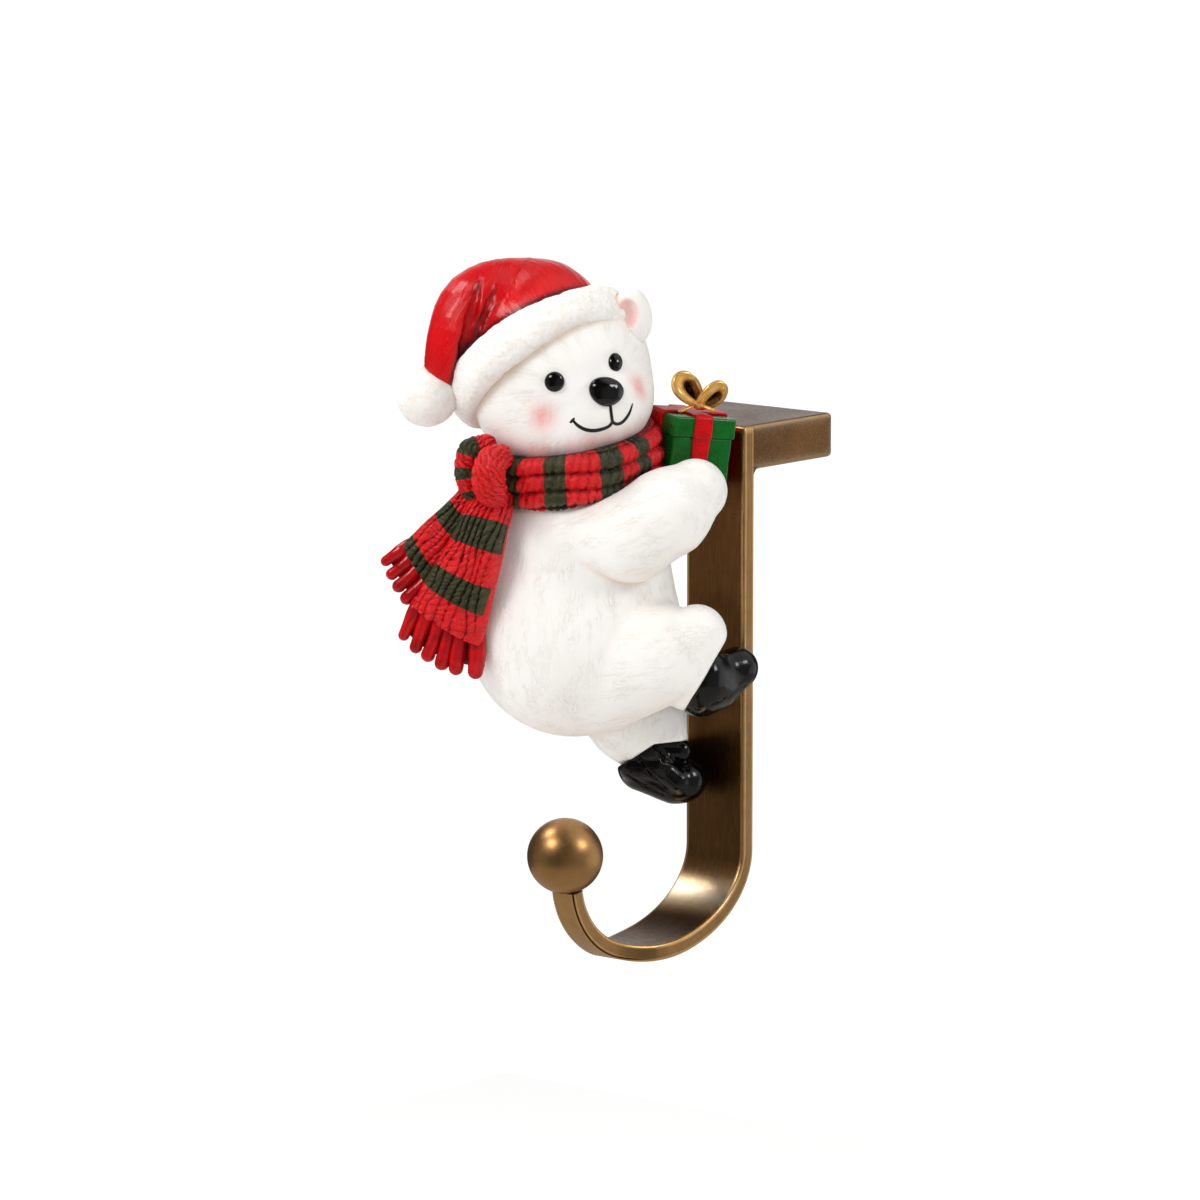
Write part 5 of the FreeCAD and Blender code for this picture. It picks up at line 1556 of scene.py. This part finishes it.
bow_loop("bow_left", [(696, 404, -46), (686, 398, -50), (678.8, 389, -52), (679.0, 380.5, -50), (685.5, 377.5, -45), (692.5, 381, -41), (697.5, 390, -40), (699, 400, -43)],
         (3.6, 4.6, 5.6, 5.8, 5.4, 5.0, 4.4, 3.4), (-0.42, -1, 0.30))
bow_loop("bow_right", [(699, 405, -46), (704, 397, -49), (711, 389.5, -49), (718, 386.5, -45), (722, 390.5, -40), (719.5, 398, -37), (711.5, 403.5, -39), (702, 406, -43)],
         (3.4, 4.2, 4.8, 5.0, 4.8, 4.4, 4.0, 3.4), (-0.36, -1, 0.36))


def bow_eye(name, pts, dep):
    """closed recess inside a loop, painted dark all over as shade"""
    P2 = smooth_path([bow_at(*p) for p in pts], 72, closed=True)
    c_ = P2.mean(0)
    rings_ = []
    for t, h in ((0.3, 0.38), (0.6, 0.30), (0.85, 0.16), (1.0, 0.0), (0.85, -0.16), (0.6, -0.30), (0.3, -0.38)):
        rings_.append(c_ + (P2 - c_) * t + np.array([0.0, dep - h, 0.0]))
    V = np.vstack(rings_ + [c_[None] + np.array([[0.0, dep - 0.40, 0.0]]), c_[None] + np.array([[0.0, dep + 0.40, 0.0]])])
    F4 = grid_faces(len(rings_), 72, False, True)
    j_ = np.arange(72)
    k_ = (j_ + 1) % 72
    n0, n1_ = len(rings_) * 72, (len(rings_) - 1) * 72
    F3 = np.vstack([np.stack([np.full(72, n0), k_, j_], -1), np.stack([np.full(72, n0 + 1), n1_ + j_, n1_ + k_], -1)])
    nf_ = np.cross(V[F3[:72, 1]] - V[F3[:72, 0]], V[F3[:72, 2]] - V[F3[:72, 0]]).sum(0)
    if nf_[1] > 0:
        F4, F3 = F4[:, ::-1], F3[:, ::-1]
    make_mixed(name, V, F4, F3, M_GOLD, attrs={"cav": np.full(len(V), 0.85)})


bow_eye("bow_left_eye", [(696, 404, -46), (686, 398, -50), (678.8, 389, -52), (679.0, 380.5, -50), (685.5, 377.5, -45), (692.5, 381, -41), (697.5, 390, -40), (699, 400, -43)], 1.2)
bow_eye("bow_right_eye", [(699, 405, -46), (704, 397, -49), (711, 389.5, -49), (718, 386.5, -45), (722, 390.5, -40), (719.5, 398, -37), (711.5, 403.5, -39), (702, 406, -43)], 1.0)
kn_c = bow_at(698, 404.5, -48)
dome("bow_knot", kn_c, np.array([0.05, -1, 0.1]), 4.6 * K, 5.4 * K, 5.5 * K, M_GOLD, lumps=0.15)
for i, pts in enumerate(([(697, 405, -46), (691, 406.5, -52), (684, 409.5, -58), (680.5, 411, -62)], [(700, 406, -46), (706, 407, -52), (712, 409.5, -56)])):
    P2 = smooth_path([bow_at(*p) for p in pts], 30)
    V, F4, F3 = tube(P2, np.linspace(2.6, 2.9, 30) * K, 18, ref=(0, 0, 1), flat=0.6)
    make_mixed("bow_end_%d" % i, V, F4, F3, M_GOLD, attrs={"cav": np.zeros(len(V))})

# -------------------------------------------------------------- hook bracket
T_, SW = 4.4, 20.0
A1, A2, BD, ZC = 34.75, 24.4, 20.7, -114.3
path = [(T_ / 2, z) for z in np.linspace(-0.02, ZC, 160)]
nrmv = [(1.0, 0.0)] * 160
for half_a, f0, f1, n in ((A1, 0.0, 90.0, 110), (A2, 90.0, 172.5, 90)):
    for f in np.linspace(math.radians(f0), math.radians(f1), n + 1)[1:]:
        nn_ = np.array([math.cos(f) / half_a, -math.sin(f) / BD])
        nn_ /= np.linalg.norm(nn_)
        path.append((-A1 + half_a * math.cos(f) + nn_[0] * T_ / 2, ZC - BD * math.sin(f) + nn_[1] * T_ / 2))
        nrmv.append(tuple(nn_))
path, nrmv = np.array(path), np.array(nrmv)
ss = np.concatenate([[0], np.cumsum(np.linalg.norm(np.diff(path, axis=0), axis=1))])
# half width along the hook, narrowing past its lowest point
yy = path[:, 0]
low = -A1
tw_y = np.array([-9.0, -5.0, -1.0, 3.0, 7.0, 11.5, 17.0, 40.0])
tw_w = np.array([10.0, 9.75, 9.0, 7.5, 5.9, 4.6, 3.85, 3.7])
past = np.arange(len(path)) > (160 + 70)
hwid = np.where(past, np.interp(low - yy, tw_y, tw_w), 10.0)
ker = np.hanning(27) / np.hanning(27).sum()
hwid[20:-20] = np.convolve(hwid, ker, "same")[20:-20]
ER = 0.75


def rrect(hw2, ht2, er, nflat=8, ncor=6):
    """rounded rectangle as (w, t, edge, u) starting at +w side"""
    out = []
    cor = [(hw2 - er, ht2 - er, 0), (-(hw2 - er), ht2 - er, 90), (-(hw2 - er), -(ht2 - er), 180), (hw2 - er, -(ht2 - er), 270)]
    for i, (cw, ct, a0) in enumerate(cor):
        for a in np.linspace(a0, a0 + 90, ncor):
            out.append((cw + er * math.cos(math.radians(a)), ct + er * math.sin(math.radians(a)), 1.0 - abs((a - a0) - 45) / 45 * 0.25))
        nx = cor[(i + 1) % 4]
        e0 = (cw + er * math.cos(math.radians(a0 + 90)), ct + er * math.sin(math.radians(a0 + 90)))
        e1_ = (nx[0] + er * math.cos(math.radians(nx[2])), nx[1] + er * math.sin(math.radians(nx[2])))
        L = math.hypot(e1_[0] - e0[0], e1_[1] - e0[1])
        for k in range(1, nflat + 1):
            f = k / (nflat + 1)
            f = 0.5 - 0.5 * math.cos(math.pi * f)
            dist = min(f, 1 - f) * L
            out.append((e0[0] + (e1_[0] - e0[0]) * f, e0[1] + (e1_[1] - e0[1]) * f, 0.8 * math.exp(-dist / 0.45)))
    return np.array(out)


rows, edg, stv, cvs, pls = [], [], [], [], []
for i in range(len(path)):
    rr = rrect(hwid[i], T_ / 2, ER)
    n2 = nrmv[i]
    # an engraved line follows the outer near corner of the narrow tip
    crs = min(1.0, max(0.0, (i - 262) / 24.0))
    ctr_i = 2.5 - 4.0 * min(1.0, max(0.0, (300 - i) / 38.0))
    ix_ = (np.arange(len(rr)) - ctr_i + len(rr) / 2) % len(rr) - len(rr) / 2
    dig = crs * np.exp(-(ix_ / 0.9) ** 2)
    rr[:, 0] -= 0.30 * dig
    rr[:, 1] -= 0.30 * dig
    rows.append(np.stack([rr[:, 0], path[i, 0] + n2[0] * rr[:, 1], path[i, 1] + n2[1] * rr[:, 1]], -1))
    cvs.append(0.95 * dig)
    # painted highlight on the inside of the bend, where the key light's reflection falls; pls carries the same spot
    # into the pale tint
    bend = 0.95 * math.exp(-((i - 205) / 19.0) ** 2) * (rr[:, 1] < -T_ / 2 + 0.2)
    # painted reflection: the narrow tip is made brighter, its outer face most, standing in for light reflected from
    # below and the left
    gold = crs * np.where(rr[:, 1] > T_ / 2 - 0.4, 0.62, 0.36)
    pls.append(0.85 * math.exp(-((i - 204) / 12.0) ** 2) * (rr[:, 1] < -T_ / 2 + 0.2))
    edg.append(np.maximum(np.maximum(rr[:, 2], 0.44 * (rr[:, 0] > hwid[i] - 0.35)), np.maximum(bend, gold)) * (1 - dig))
    stv.append(np.stack([rr[:, 0] + rr[:, 1], np.full(len(rr), ss[i]), np.zeros(len(rr))], -1))
m = len(rows[0])
# top end rounded over, bottom end closed inside the ball
topr = []
for a in (90, 67, 45, 22):
    k_ = math.cos(math.radians(a))
    rr = rrect(10.0 - ER * (1 - k_), T_ / 2 - ER * (1 - k_) , max(ER * k_, 0.05))
    zt = -ER + ER * math.sin(math.radians(a)) - 0.12
    topr.append(np.stack([rr[:, 0], T_ / 2 + rr[:, 1], np.full(len(rr), zt)], -1))
rows[0:int(np.sum(ss < ER)) + 1] = []
cut_n = len(path) - len(rows)
edg, stv, cvs, pls = edg[cut_n:], stv[cut_n:], cvs[cut_n:], pls[cut_n:]
V = np.vstack([np.array(topr).reshape(-1, 3), np.array(rows).reshape(-1, 3)])
ed = np.concatenate([np.repeat(0.9, 4 * m), np.concatenate(edg)])
stt = np.vstack([np.tile(stv[0], (4, 1)), np.vstack(stv)])
nr_ = 4 + len(rows)
F = grid_faces(nr_, m, False, True)
c_top, c_end = len(V), len(V) + 1
V = np.vstack([V, V[:m].mean(0), V[-m:].mean(0)])
ed, stt = np.append(ed, [0.2, 0.2]), np.vstack([stt, [[0, 0, 0], [0, 0, 0]]])
j = np.arange(m)
j2 = (j + 1) % m
F3 = np.vstack([np.stack([np.full(m, c_top), j, j2], -1), np.stack([np.full(m, c_end), (nr_ - 1) * m + j2, (nr_ - 1) * m + j], -1)])
Vt = V
nf = np.cross(Vt[F[:, 2]] - Vt[F[:, 0]], Vt[F[:, 3]] - Vt[F[:, 1]])
cen = np.repeat(np.array([r.mean(0) for r in V[:nr_ * m].reshape(nr_, m, 3)])[:-1], m, 0)
if ((Vt[F[:, 0]] - cen) * nf).sum() < 0:
    F = F[:, ::-1]
else:
    F3 = F3[:, ::-1]
# dark seam where the outer face meets the near side on the narrow tip
tipy = V[:, 1] < -A1 - 8
near_edge = np.exp(-((V[:, 0] - 3.5) / 0.5) ** 2)
cavs = np.concatenate([np.zeros(4 * m), np.concatenate(cvs), [0.0, 0.0]])
# painted shadow where the figure meets the strap: a dark band across the strap's front face
cavs += 0.35 * np.exp(-((V[:, 2] + 16.0) / 5.0) ** 2) * (V[:, 1] < 0.5)
make_mixed("bracket_strap", V, F, F3, M_BRASS, node="hook_bracket", slot="aged_brass", conv=C, attrs={"edge": ed, "st": stt, "cav": cavs, "pale": np.concatenate([np.zeros(4 * m), np.concatenate(pls), [0.0, 0.0]])})


def metal_box(name, lo3, hi3, er, mat, dens=2.2):
    """rounded box with dense faces and an edge coordinate"""
    lo3, hi3 = np.array(lo3, float), np.array(hi3, float)
    c, h = (lo3 + hi3) / 2, (hi3 - lo3) / 2

    def axis_pts(hh):
        inner_ = hh - er
        n = max(4, int(2 * inner_ / dens))
        core = np.linspace(-inner_, inner_, n)
        return core
    V_all, F_all, E_all = [], [], []
    off = 0
    # cube sphere style: each face grid mapped, then edges rounded
    for ax_i in range(3):
        o1, o2 = [(1, 2), (2, 0), (0, 1)][ax_i]
        for sg in (1, -1):
            def pts(hh):
                k = np.linspace(0, 1, 6)[:-1]
                return np.concatenate([-hh + er * (1 - np.cos(k * math.pi / 2)) * 1.0, axis_pts(hh), (hh - er * (1 - np.cos(k * math.pi / 2)))[::-1]])
            g1, g2 = pts(h[o1]), pts(h[o2])
            A, B = np.meshgrid(g1, g2, indexing="ij")
            P = np.zeros(A.shape + (3,))
            P[..., ax_i] = sg * h[ax_i]
            P[..., o1], P[..., o2] = A, B
            V_all.append(P.reshape(-1, 3))
            F_all.append(grid_faces(len(g1), len(g2), False, False, off, flip=(sg < 0)))
            off += A.size
    V = np.vstack(V_all)
    F = np.vstack(F_all)
    core = np.clip(V, -(h - er), h - er)
    dlt = V - core
    L = np.linalg.norm(dlt, axis=1, keepdims=True)
    # distance from the nearest edge, for the rubbed look
    near = np.sort(h - np.abs(V), axis=1)
    edge_ = np.exp(-near[:, 1] / 0.55)
    V = core + dlt / np.maximum(L, 1e-9) * er
    key = np.round(V * 500).astype(np.int64)
    _, first, inv = np.unique(key, axis=0, return_index=True, return_inverse=True)
    inv = inv.ravel()
    V, edge_ = V[first], edge_[first]
    F = inv[F]
    ok = np.array([len(set(f)) == 4 for f in F])
    F4 = F[ok]
    F3 = []
    for f in F[~ok]:
        u_ = list(dict.fromkeys(f))
        if len(u_) == 3:
            F3.append(u_)
    F3 = np.array(F3).reshape(-1, 3) if F3 else np.zeros((0, 3), int)
    return V + c, F4, F3, edge_


P_LO, P_HI = np.array([-28.5, 0.12, -12.0]), np.array([9.97, 38.0, 0.0])


def sd_cbox(P, lo_, hi_, r):
    c_, h_ = (np.asarray(lo_) + np.asarray(hi_)) / 2, (np.asarray(hi_) - np.asarray(lo_)) / 2
    dq = np.abs(P - c_) - (h_ - r)
    return np.sqrt((np.maximum(dq, 0) ** 2).sum(-1)) + np.minimum(dq.max(-1), 0) - r


def sd_plate(P):
    """plate with the root of the strap and the fillet between them"""
    d = smin(sd_cbox(P, P_LO, P_HI, 1.3), sd_cbox(P, (-9.85, 0.14, -22.0), (9.85, T_ - 0.10, -1.0), 0.75), 2.8)
    return np.maximum(d, sd_cbox(P, (-28.5, 0.12, -60.0), (9.97, 38.0, 0.0), 1.3))


V, F = nets(sd_plate, (-30.2, -1.6, -24.0), (11.6, 39.6, 1.6), 0.50)
V, N = settle(sd_plate, V, 3)
c_, h_ = (P_LO + P_HI) / 2, (P_HI - P_LO) / 2
near = np.sort(np.maximum(h_ - np.abs(V - c_), 0), axis=1)
eg = np.minimum(1.0, 1.3 * np.exp(-near[:, 1] / 0.85)) * (V[:, 2] > -12.3) * (1 - np.exp(-((V[:, 1] - T_) / 1.2) ** 2) * (V[:, 2] < -11.0) * (np.abs(V[:, 0]) < 10.5))
F3 = np.zeros((0, 3), int)
make_mixed("bracket_plate", V, F, F3, M_BRASS, node="hook_bracket", slot="aged_brass", conv=C,
           attrs={"edge": eg, "pale": 0.32 * eg, "st": V * np.array([0.8, 14.0, 1.8]), "cav": np.zeros(len(V))})

# ----------------------------------------------------------------------- ball
tm = np.array([0.0, path[-1][0], path[-1][1]])
bc = np.array([0.0, -62.0, -107.9])
tdir = (bc - tm) / np.linalg.norm(bc - tm)
seat_h = math.sqrt(100.0 - 3.6 ** 2)
axb, b1, b2 = ang_frame(tdir)
th = np.linspace(0, 2 * math.pi, 128, endpoint=False)
phs = np.linspace(0.015, math.pi - math.asin(3.6 / 10.0), 84)
T2, H2 = np.meshgrid(th, phs, indexing="ij")
Vb = bc + 10.0 * (np.sin(H2)[..., None] * (np.cos(T2)[..., None] * b1 + np.sin(T2)[..., None] * b2) + np.cos(H2)[..., None] * axb)
Vb = Vb.reshape(-1, 3)
Fb = grid_faces(128, 84, True, False)
ct, cb = len(Vb), len(Vb) + 1
Vb = np.vstack([Vb, bc + axb * 10.0, bc - axb * seat_h])
i = np.arange(128)
i2 = (i + 1) % 128
t3 = np.vstack([np.stack([np.full(128, ct), i * 84, i2 * 84], -1), np.stack([np.full(128, cb), i2 * 84 + 83, i * 84 + 83], -1)])
nb_ = np.cross(Vb[Fb[0, 2]] - Vb[Fb[0, 0]], Vb[Fb[0, 3]] - Vb[Fb[0, 1]])
if nb_ @ (Vb[Fb[0, 0]] - bc) < 0:
    Fb = Fb[:, ::-1]
n3 = np.cross(Vb[t3[0, 1]] - Vb[t3[0, 0]], Vb[t3[0, 2]] - Vb[t3[0, 0]])
if n3 @ axb < 0:
    t3 = t3[:, ::-1]
hb = (Vb - bc) @ axb
make_mixed("ball", Vb, Fb, t3, M_BALL, node="ball_finial", slot="ball_brass", conv=C,
           attrs={"edge": np.zeros(len(Vb)), "st": flow(Vb, bc, axb, 10.0), "cav": np.clip(np.exp(-((hb + seat_h) / 0.7) ** 2), 0, 1)})

# ------------------------------------------------- carried-over hidden pieces
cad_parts["grip_pad"].data.materials.clear()
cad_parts["grip_pad"].data.materials.append(mat_plain("pad_foam", (24, 24, 24), (36, 35, 34), 0.85, 900.0, 0.0, 0.00012))
M_SCREW = mat_brass("screw_zinc", flat=(158, 154, 144), bright=(206, 202, 192), dark=(84, 80, 74), rlo=0.26, rhi=0.36)


def screw(name, cx, cz, turn):
    """countersunk screw: head level with the strap's back, cross recess darkened with painted shade, and a flat ring
    round the head painted dark as the shadow in the gap
    """
    nu = 64
    rr = np.concatenate([np.linspace(0.08, 2.45, 24), [2.54, 2.60, 2.62, 2.70, 2.80, 2.90, 2.93, 2.95, 2.95, 1.5, 1.5, 1.2]])
    yy = np.concatenate([np.full(24, 0.10), [0.085, 0.045, 0.012, 0.012, 0.012, 0.012, 0.0, -0.05, -0.2, -1.6, -3.6, -3.9]])
    t = np.linspace(0, 2 * math.pi, nu, endpoint=False)
    R, A = np.meshgrid(rr, t, indexing="ij")
    u, v = R * np.cos(A + turn), R * np.sin(A + turn)

    def bar(a, b):
        return np.clip((0.40 - np.abs(a)) / 0.14 + 0.5, 0, 1) * np.clip((1.45 - np.abs(b)) / 0.2 + 0.5, 0, 1)

    top = np.arange(len(rr))[:, None] < 24
    cut = np.maximum(bar(u, v), bar(v, u)) * top
    Y = yy[:, None] - 0.085 * cut
    # painted shadow: a flat ring round the head, painted dark
    gap_shadow = (np.arange(len(rr))[:, None] >= 26) * (np.arange(len(rr))[:, None] <= 30) * np.ones_like(R)
    P = np.stack([cx + R * np.cos(A), T_ + Y, cz + R * np.sin(A)], -1).reshape(-1, 3)
    n = len(P)
    P = np.vstack([P, [cx, T_ + 0.015, cz], [cx, T_ - 4.0, cz]])
    F4 = grid_faces(len(rr), nu, False, True)
    j = np.arange(nu)
    k = (j + 1) % nu
    e = (len(rr) - 1) * nu
    F3 = np.vstack([np.stack([np.full(nu, n), j, k], -1), np.stack([np.full(nu, n + 1), e + k, e + j], -1)])
    if np.cross(P[F3[0, 1]] - P[F3[0, 0]], P[F3[0, 2]] - P[F3[0, 0]])[1] < 0:
        F3 = F3[:, ::-1]
    q0 = F4[0]
    if np.cross(P[q0[1]] - P[q0[0]], P[q0[2]] - P[q0[0]])[1] < 0:
        F4 = F4[:, ::-1]
    edge = np.exp(-((rr - 2.5) / 0.12) ** 2)[:, None] * np.ones_like(R) * (yy[:, None] > 0.03)
    z2 = np.zeros(2)
    make_mixed(name, P, F4, F3, M_SCREW, node="fixing_screws", slot="screw_steel", conv=C,
               attrs={"cav": np.concatenate([np.maximum(cut, gap_shadow).ravel(), [1.0, 0.0]]), "edge": np.concatenate([edge.ravel(), z2]), "st": P * 1.0})


screw("screw_upper", -4.75, -17.3, 0.35)
screw("screw_lower", -4.75, -93.6, -0.6)

# ------------------------------------------------------------ floor and light
bm = bmesh.new()
bmesh.ops.create_grid(bm, x_segments=1, y_segments=1, size=0.6)
fl = bpy.data.meshes.new("floor")
bm.to_mesh(fl)
bm.free()
floor = bpy.data.objects.new("floor", fl)
floor.location = (0, 0, -0.36)
fm = Mat("floor_paper")
fm.link("Base Color", fm.mix(fm.noise(fm.obj(), 3.0, 2.0, 0.5), lin(250, 250, 250), lin(246, 246, 246)))
fm.set(Roughness=0.9, Emission_Strength=0.14)
fm.b.inputs["Emission Color"].default_value = (1, 1, 1, 1)
dim = fm.n("BsdfDiffuse")
dim.inputs["Color"].default_value = lin(176, 172, 166)
mx_ = fm.n("MixShader")
fm.put(mx_, 0, fm.n("LightPath").outputs["Is Glossy Ray"])
fm.t.links.new(fm.b.outputs[0], mx_.inputs[1])
fm.t.links.new(dim.outputs[0], mx_.inputs[2])
fm.t.links.new(mx_.outputs[0], fm.out.inputs[0])
fl.materials.append(fm.m)
bpy.context.scene.collection.objects.link(floor)

sc = bpy.context.scene
sc.view_settings.view_transform = "Standard"
sc.view_settings.look = "None"
world = bpy.data.worlds.new("studio")
sc.world = world
world.use_nodes = True
wt = world.node_tree
wt.nodes.clear()
wo = wt.nodes.new("ShaderNodeOutputWorld")


def wnode(kind, **kw):
    nd = wt.nodes.new("ShaderNode" + kind)
    for k, v in kw.items():
        setattr(nd, k, v)
    return nd


def wmath(op, a, b, c=None):
    nd = wnode("Math", operation=op)
    for i, v in enumerate((a, b, c)):
        if v is None:
            continue
        if isinstance(v, bpy.types.NodeSocket):
            wt.links.new(v, nd.inputs[i])
        else:
            nd.inputs[i].default_value = v
    return nd.outputs[0]


def toward(vec, a, b):
    """1 where the direction lies close to vec"""
    nd = wnode("VectorMath", operation="DOT_PRODUCT")
    wt.links.new(tc_w.outputs["Generated"], nd.inputs[0])
    nd.inputs[1].default_value = vec
    mr = wnode("MapRange", interpolation_type="SMOOTHSTEP")
    wt.links.new(nd.outputs["Value"], mr.inputs["Value"])
    mr.inputs["From Min"].default_value = a
    mr.inputs["From Max"].default_value = b
    return mr.outputs[0]


tc_w = wnode("TexCoord")
lp = wnode("LightPath")
# polished parts see a dim room with pale cards behind and at both sides
def wdir(r, u, b):
    v = r * RIGHT + u * np.array([0, 0, 1.0]) + b * np.array([SA, -CA, 0.0])
    return tuple(v / np.linalg.norm(v))


card_top = toward((-0.635, 0.756, 0.158), 0.90, 0.985)
card_left = toward(wdir(-0.97, -0.16, 0.17), 0.72, 0.97)
card_right = toward((0.97, -0.17, -0.16), 0.60, 0.95)
card_side = toward((0.635, 0.756, -0.158), 0.80, 0.97)
gl = wmath("ADD", wmath("MULTIPLY", wmath("MAXIMUM", wmath("MULTIPLY", card_top, 0.78), card_side), 0.90), 0.055)
gl = wmath("ADD", gl, wmath("MULTIPLY", card_left, 0.19))
gl = wmath("ADD", gl, wmath("MULTIPLY", toward((0.40, 0.45, 0.80), 0.72, 0.95), 0.75))
gl = wmath("ADD", gl, wmath("MULTIPLY", card_right, 0.22))
amb = wmath("ADD", wmath("MULTIPLY", toward((0.0, 0.0, 1.0), -1.0, 1.0), 0.25), 0.43)
amb = wmath("ADD", amb, wmath("MULTIPLY", toward(wdir(-1.0, -0.35, 0.55), 0.0, 1.0), 0.16))
val = wmath("ADD", wmath("MULTIPLY", lp.outputs["Is Glossy Ray"], wmath("SUBTRACT", gl, amb)), amb)
val = wmath("ADD", wmath("MULTIPLY", lp.outputs["Is Camera Ray"], wmath("SUBTRACT", 1.06, val)), val)
bg = wnode("Background")
bg.inputs[0].default_value = (1, 1, 1, 1)
wt.links.new(val, bg.inputs[1])
wt.links.new(bg.outputs[0], wo.inputs[0])


def area(name, pos, target, size, power, color=(1, 1, 1), size_y=None):
    L = bpy.data.lights.new(name, "AREA")
    L.energy = power
    L.color = color
    L.shape = "RECTANGLE"
    L.size = size
    L.size_y = size_y or size
    o = bpy.data.objects.new(name, L)
    bpy.context.scene.collection.objects.link(o)
    pos, target = Vector(pos), Vector(target)
    o.location = pos
    o.rotation_euler = (target - pos).to_track_quat("-Z", "Y").to_euler()
    return o


def rel(r, u, b):
    """camera-relative place: right, up, towards the viewer, in metres from the object's middle"""
    v = r * RIGHT + u * np.array([0, 0, 1.0]) + b * np.array([SA, -CA, 0.0])
    return (v[0] + 0.0, v[1] - 0.04, v[2] - 0.03)


mid_pt = (0.0, -0.04, -0.03)
area("key", rel(-0.80, 0.76, 0.56), mid_pt, 0.46, 5.6, (1.0, 0.985, 0.965), 0.36)
area("side", rel(-0.76, 1.02, -0.24), mid_pt, 0.40, 4.8, (1.0, 0.985, 0.96), 0.36)
area("fill", rel(1.00, 0.70, 0.50), mid_pt, 0.38, 4.3, (0.995, 0.995, 1.0), 0.32)

print("triangles", sum(len(o.data.loop_triangles) or sum(len(p.vertices) - 2 for p in o.data.polygons) for o in MADE))
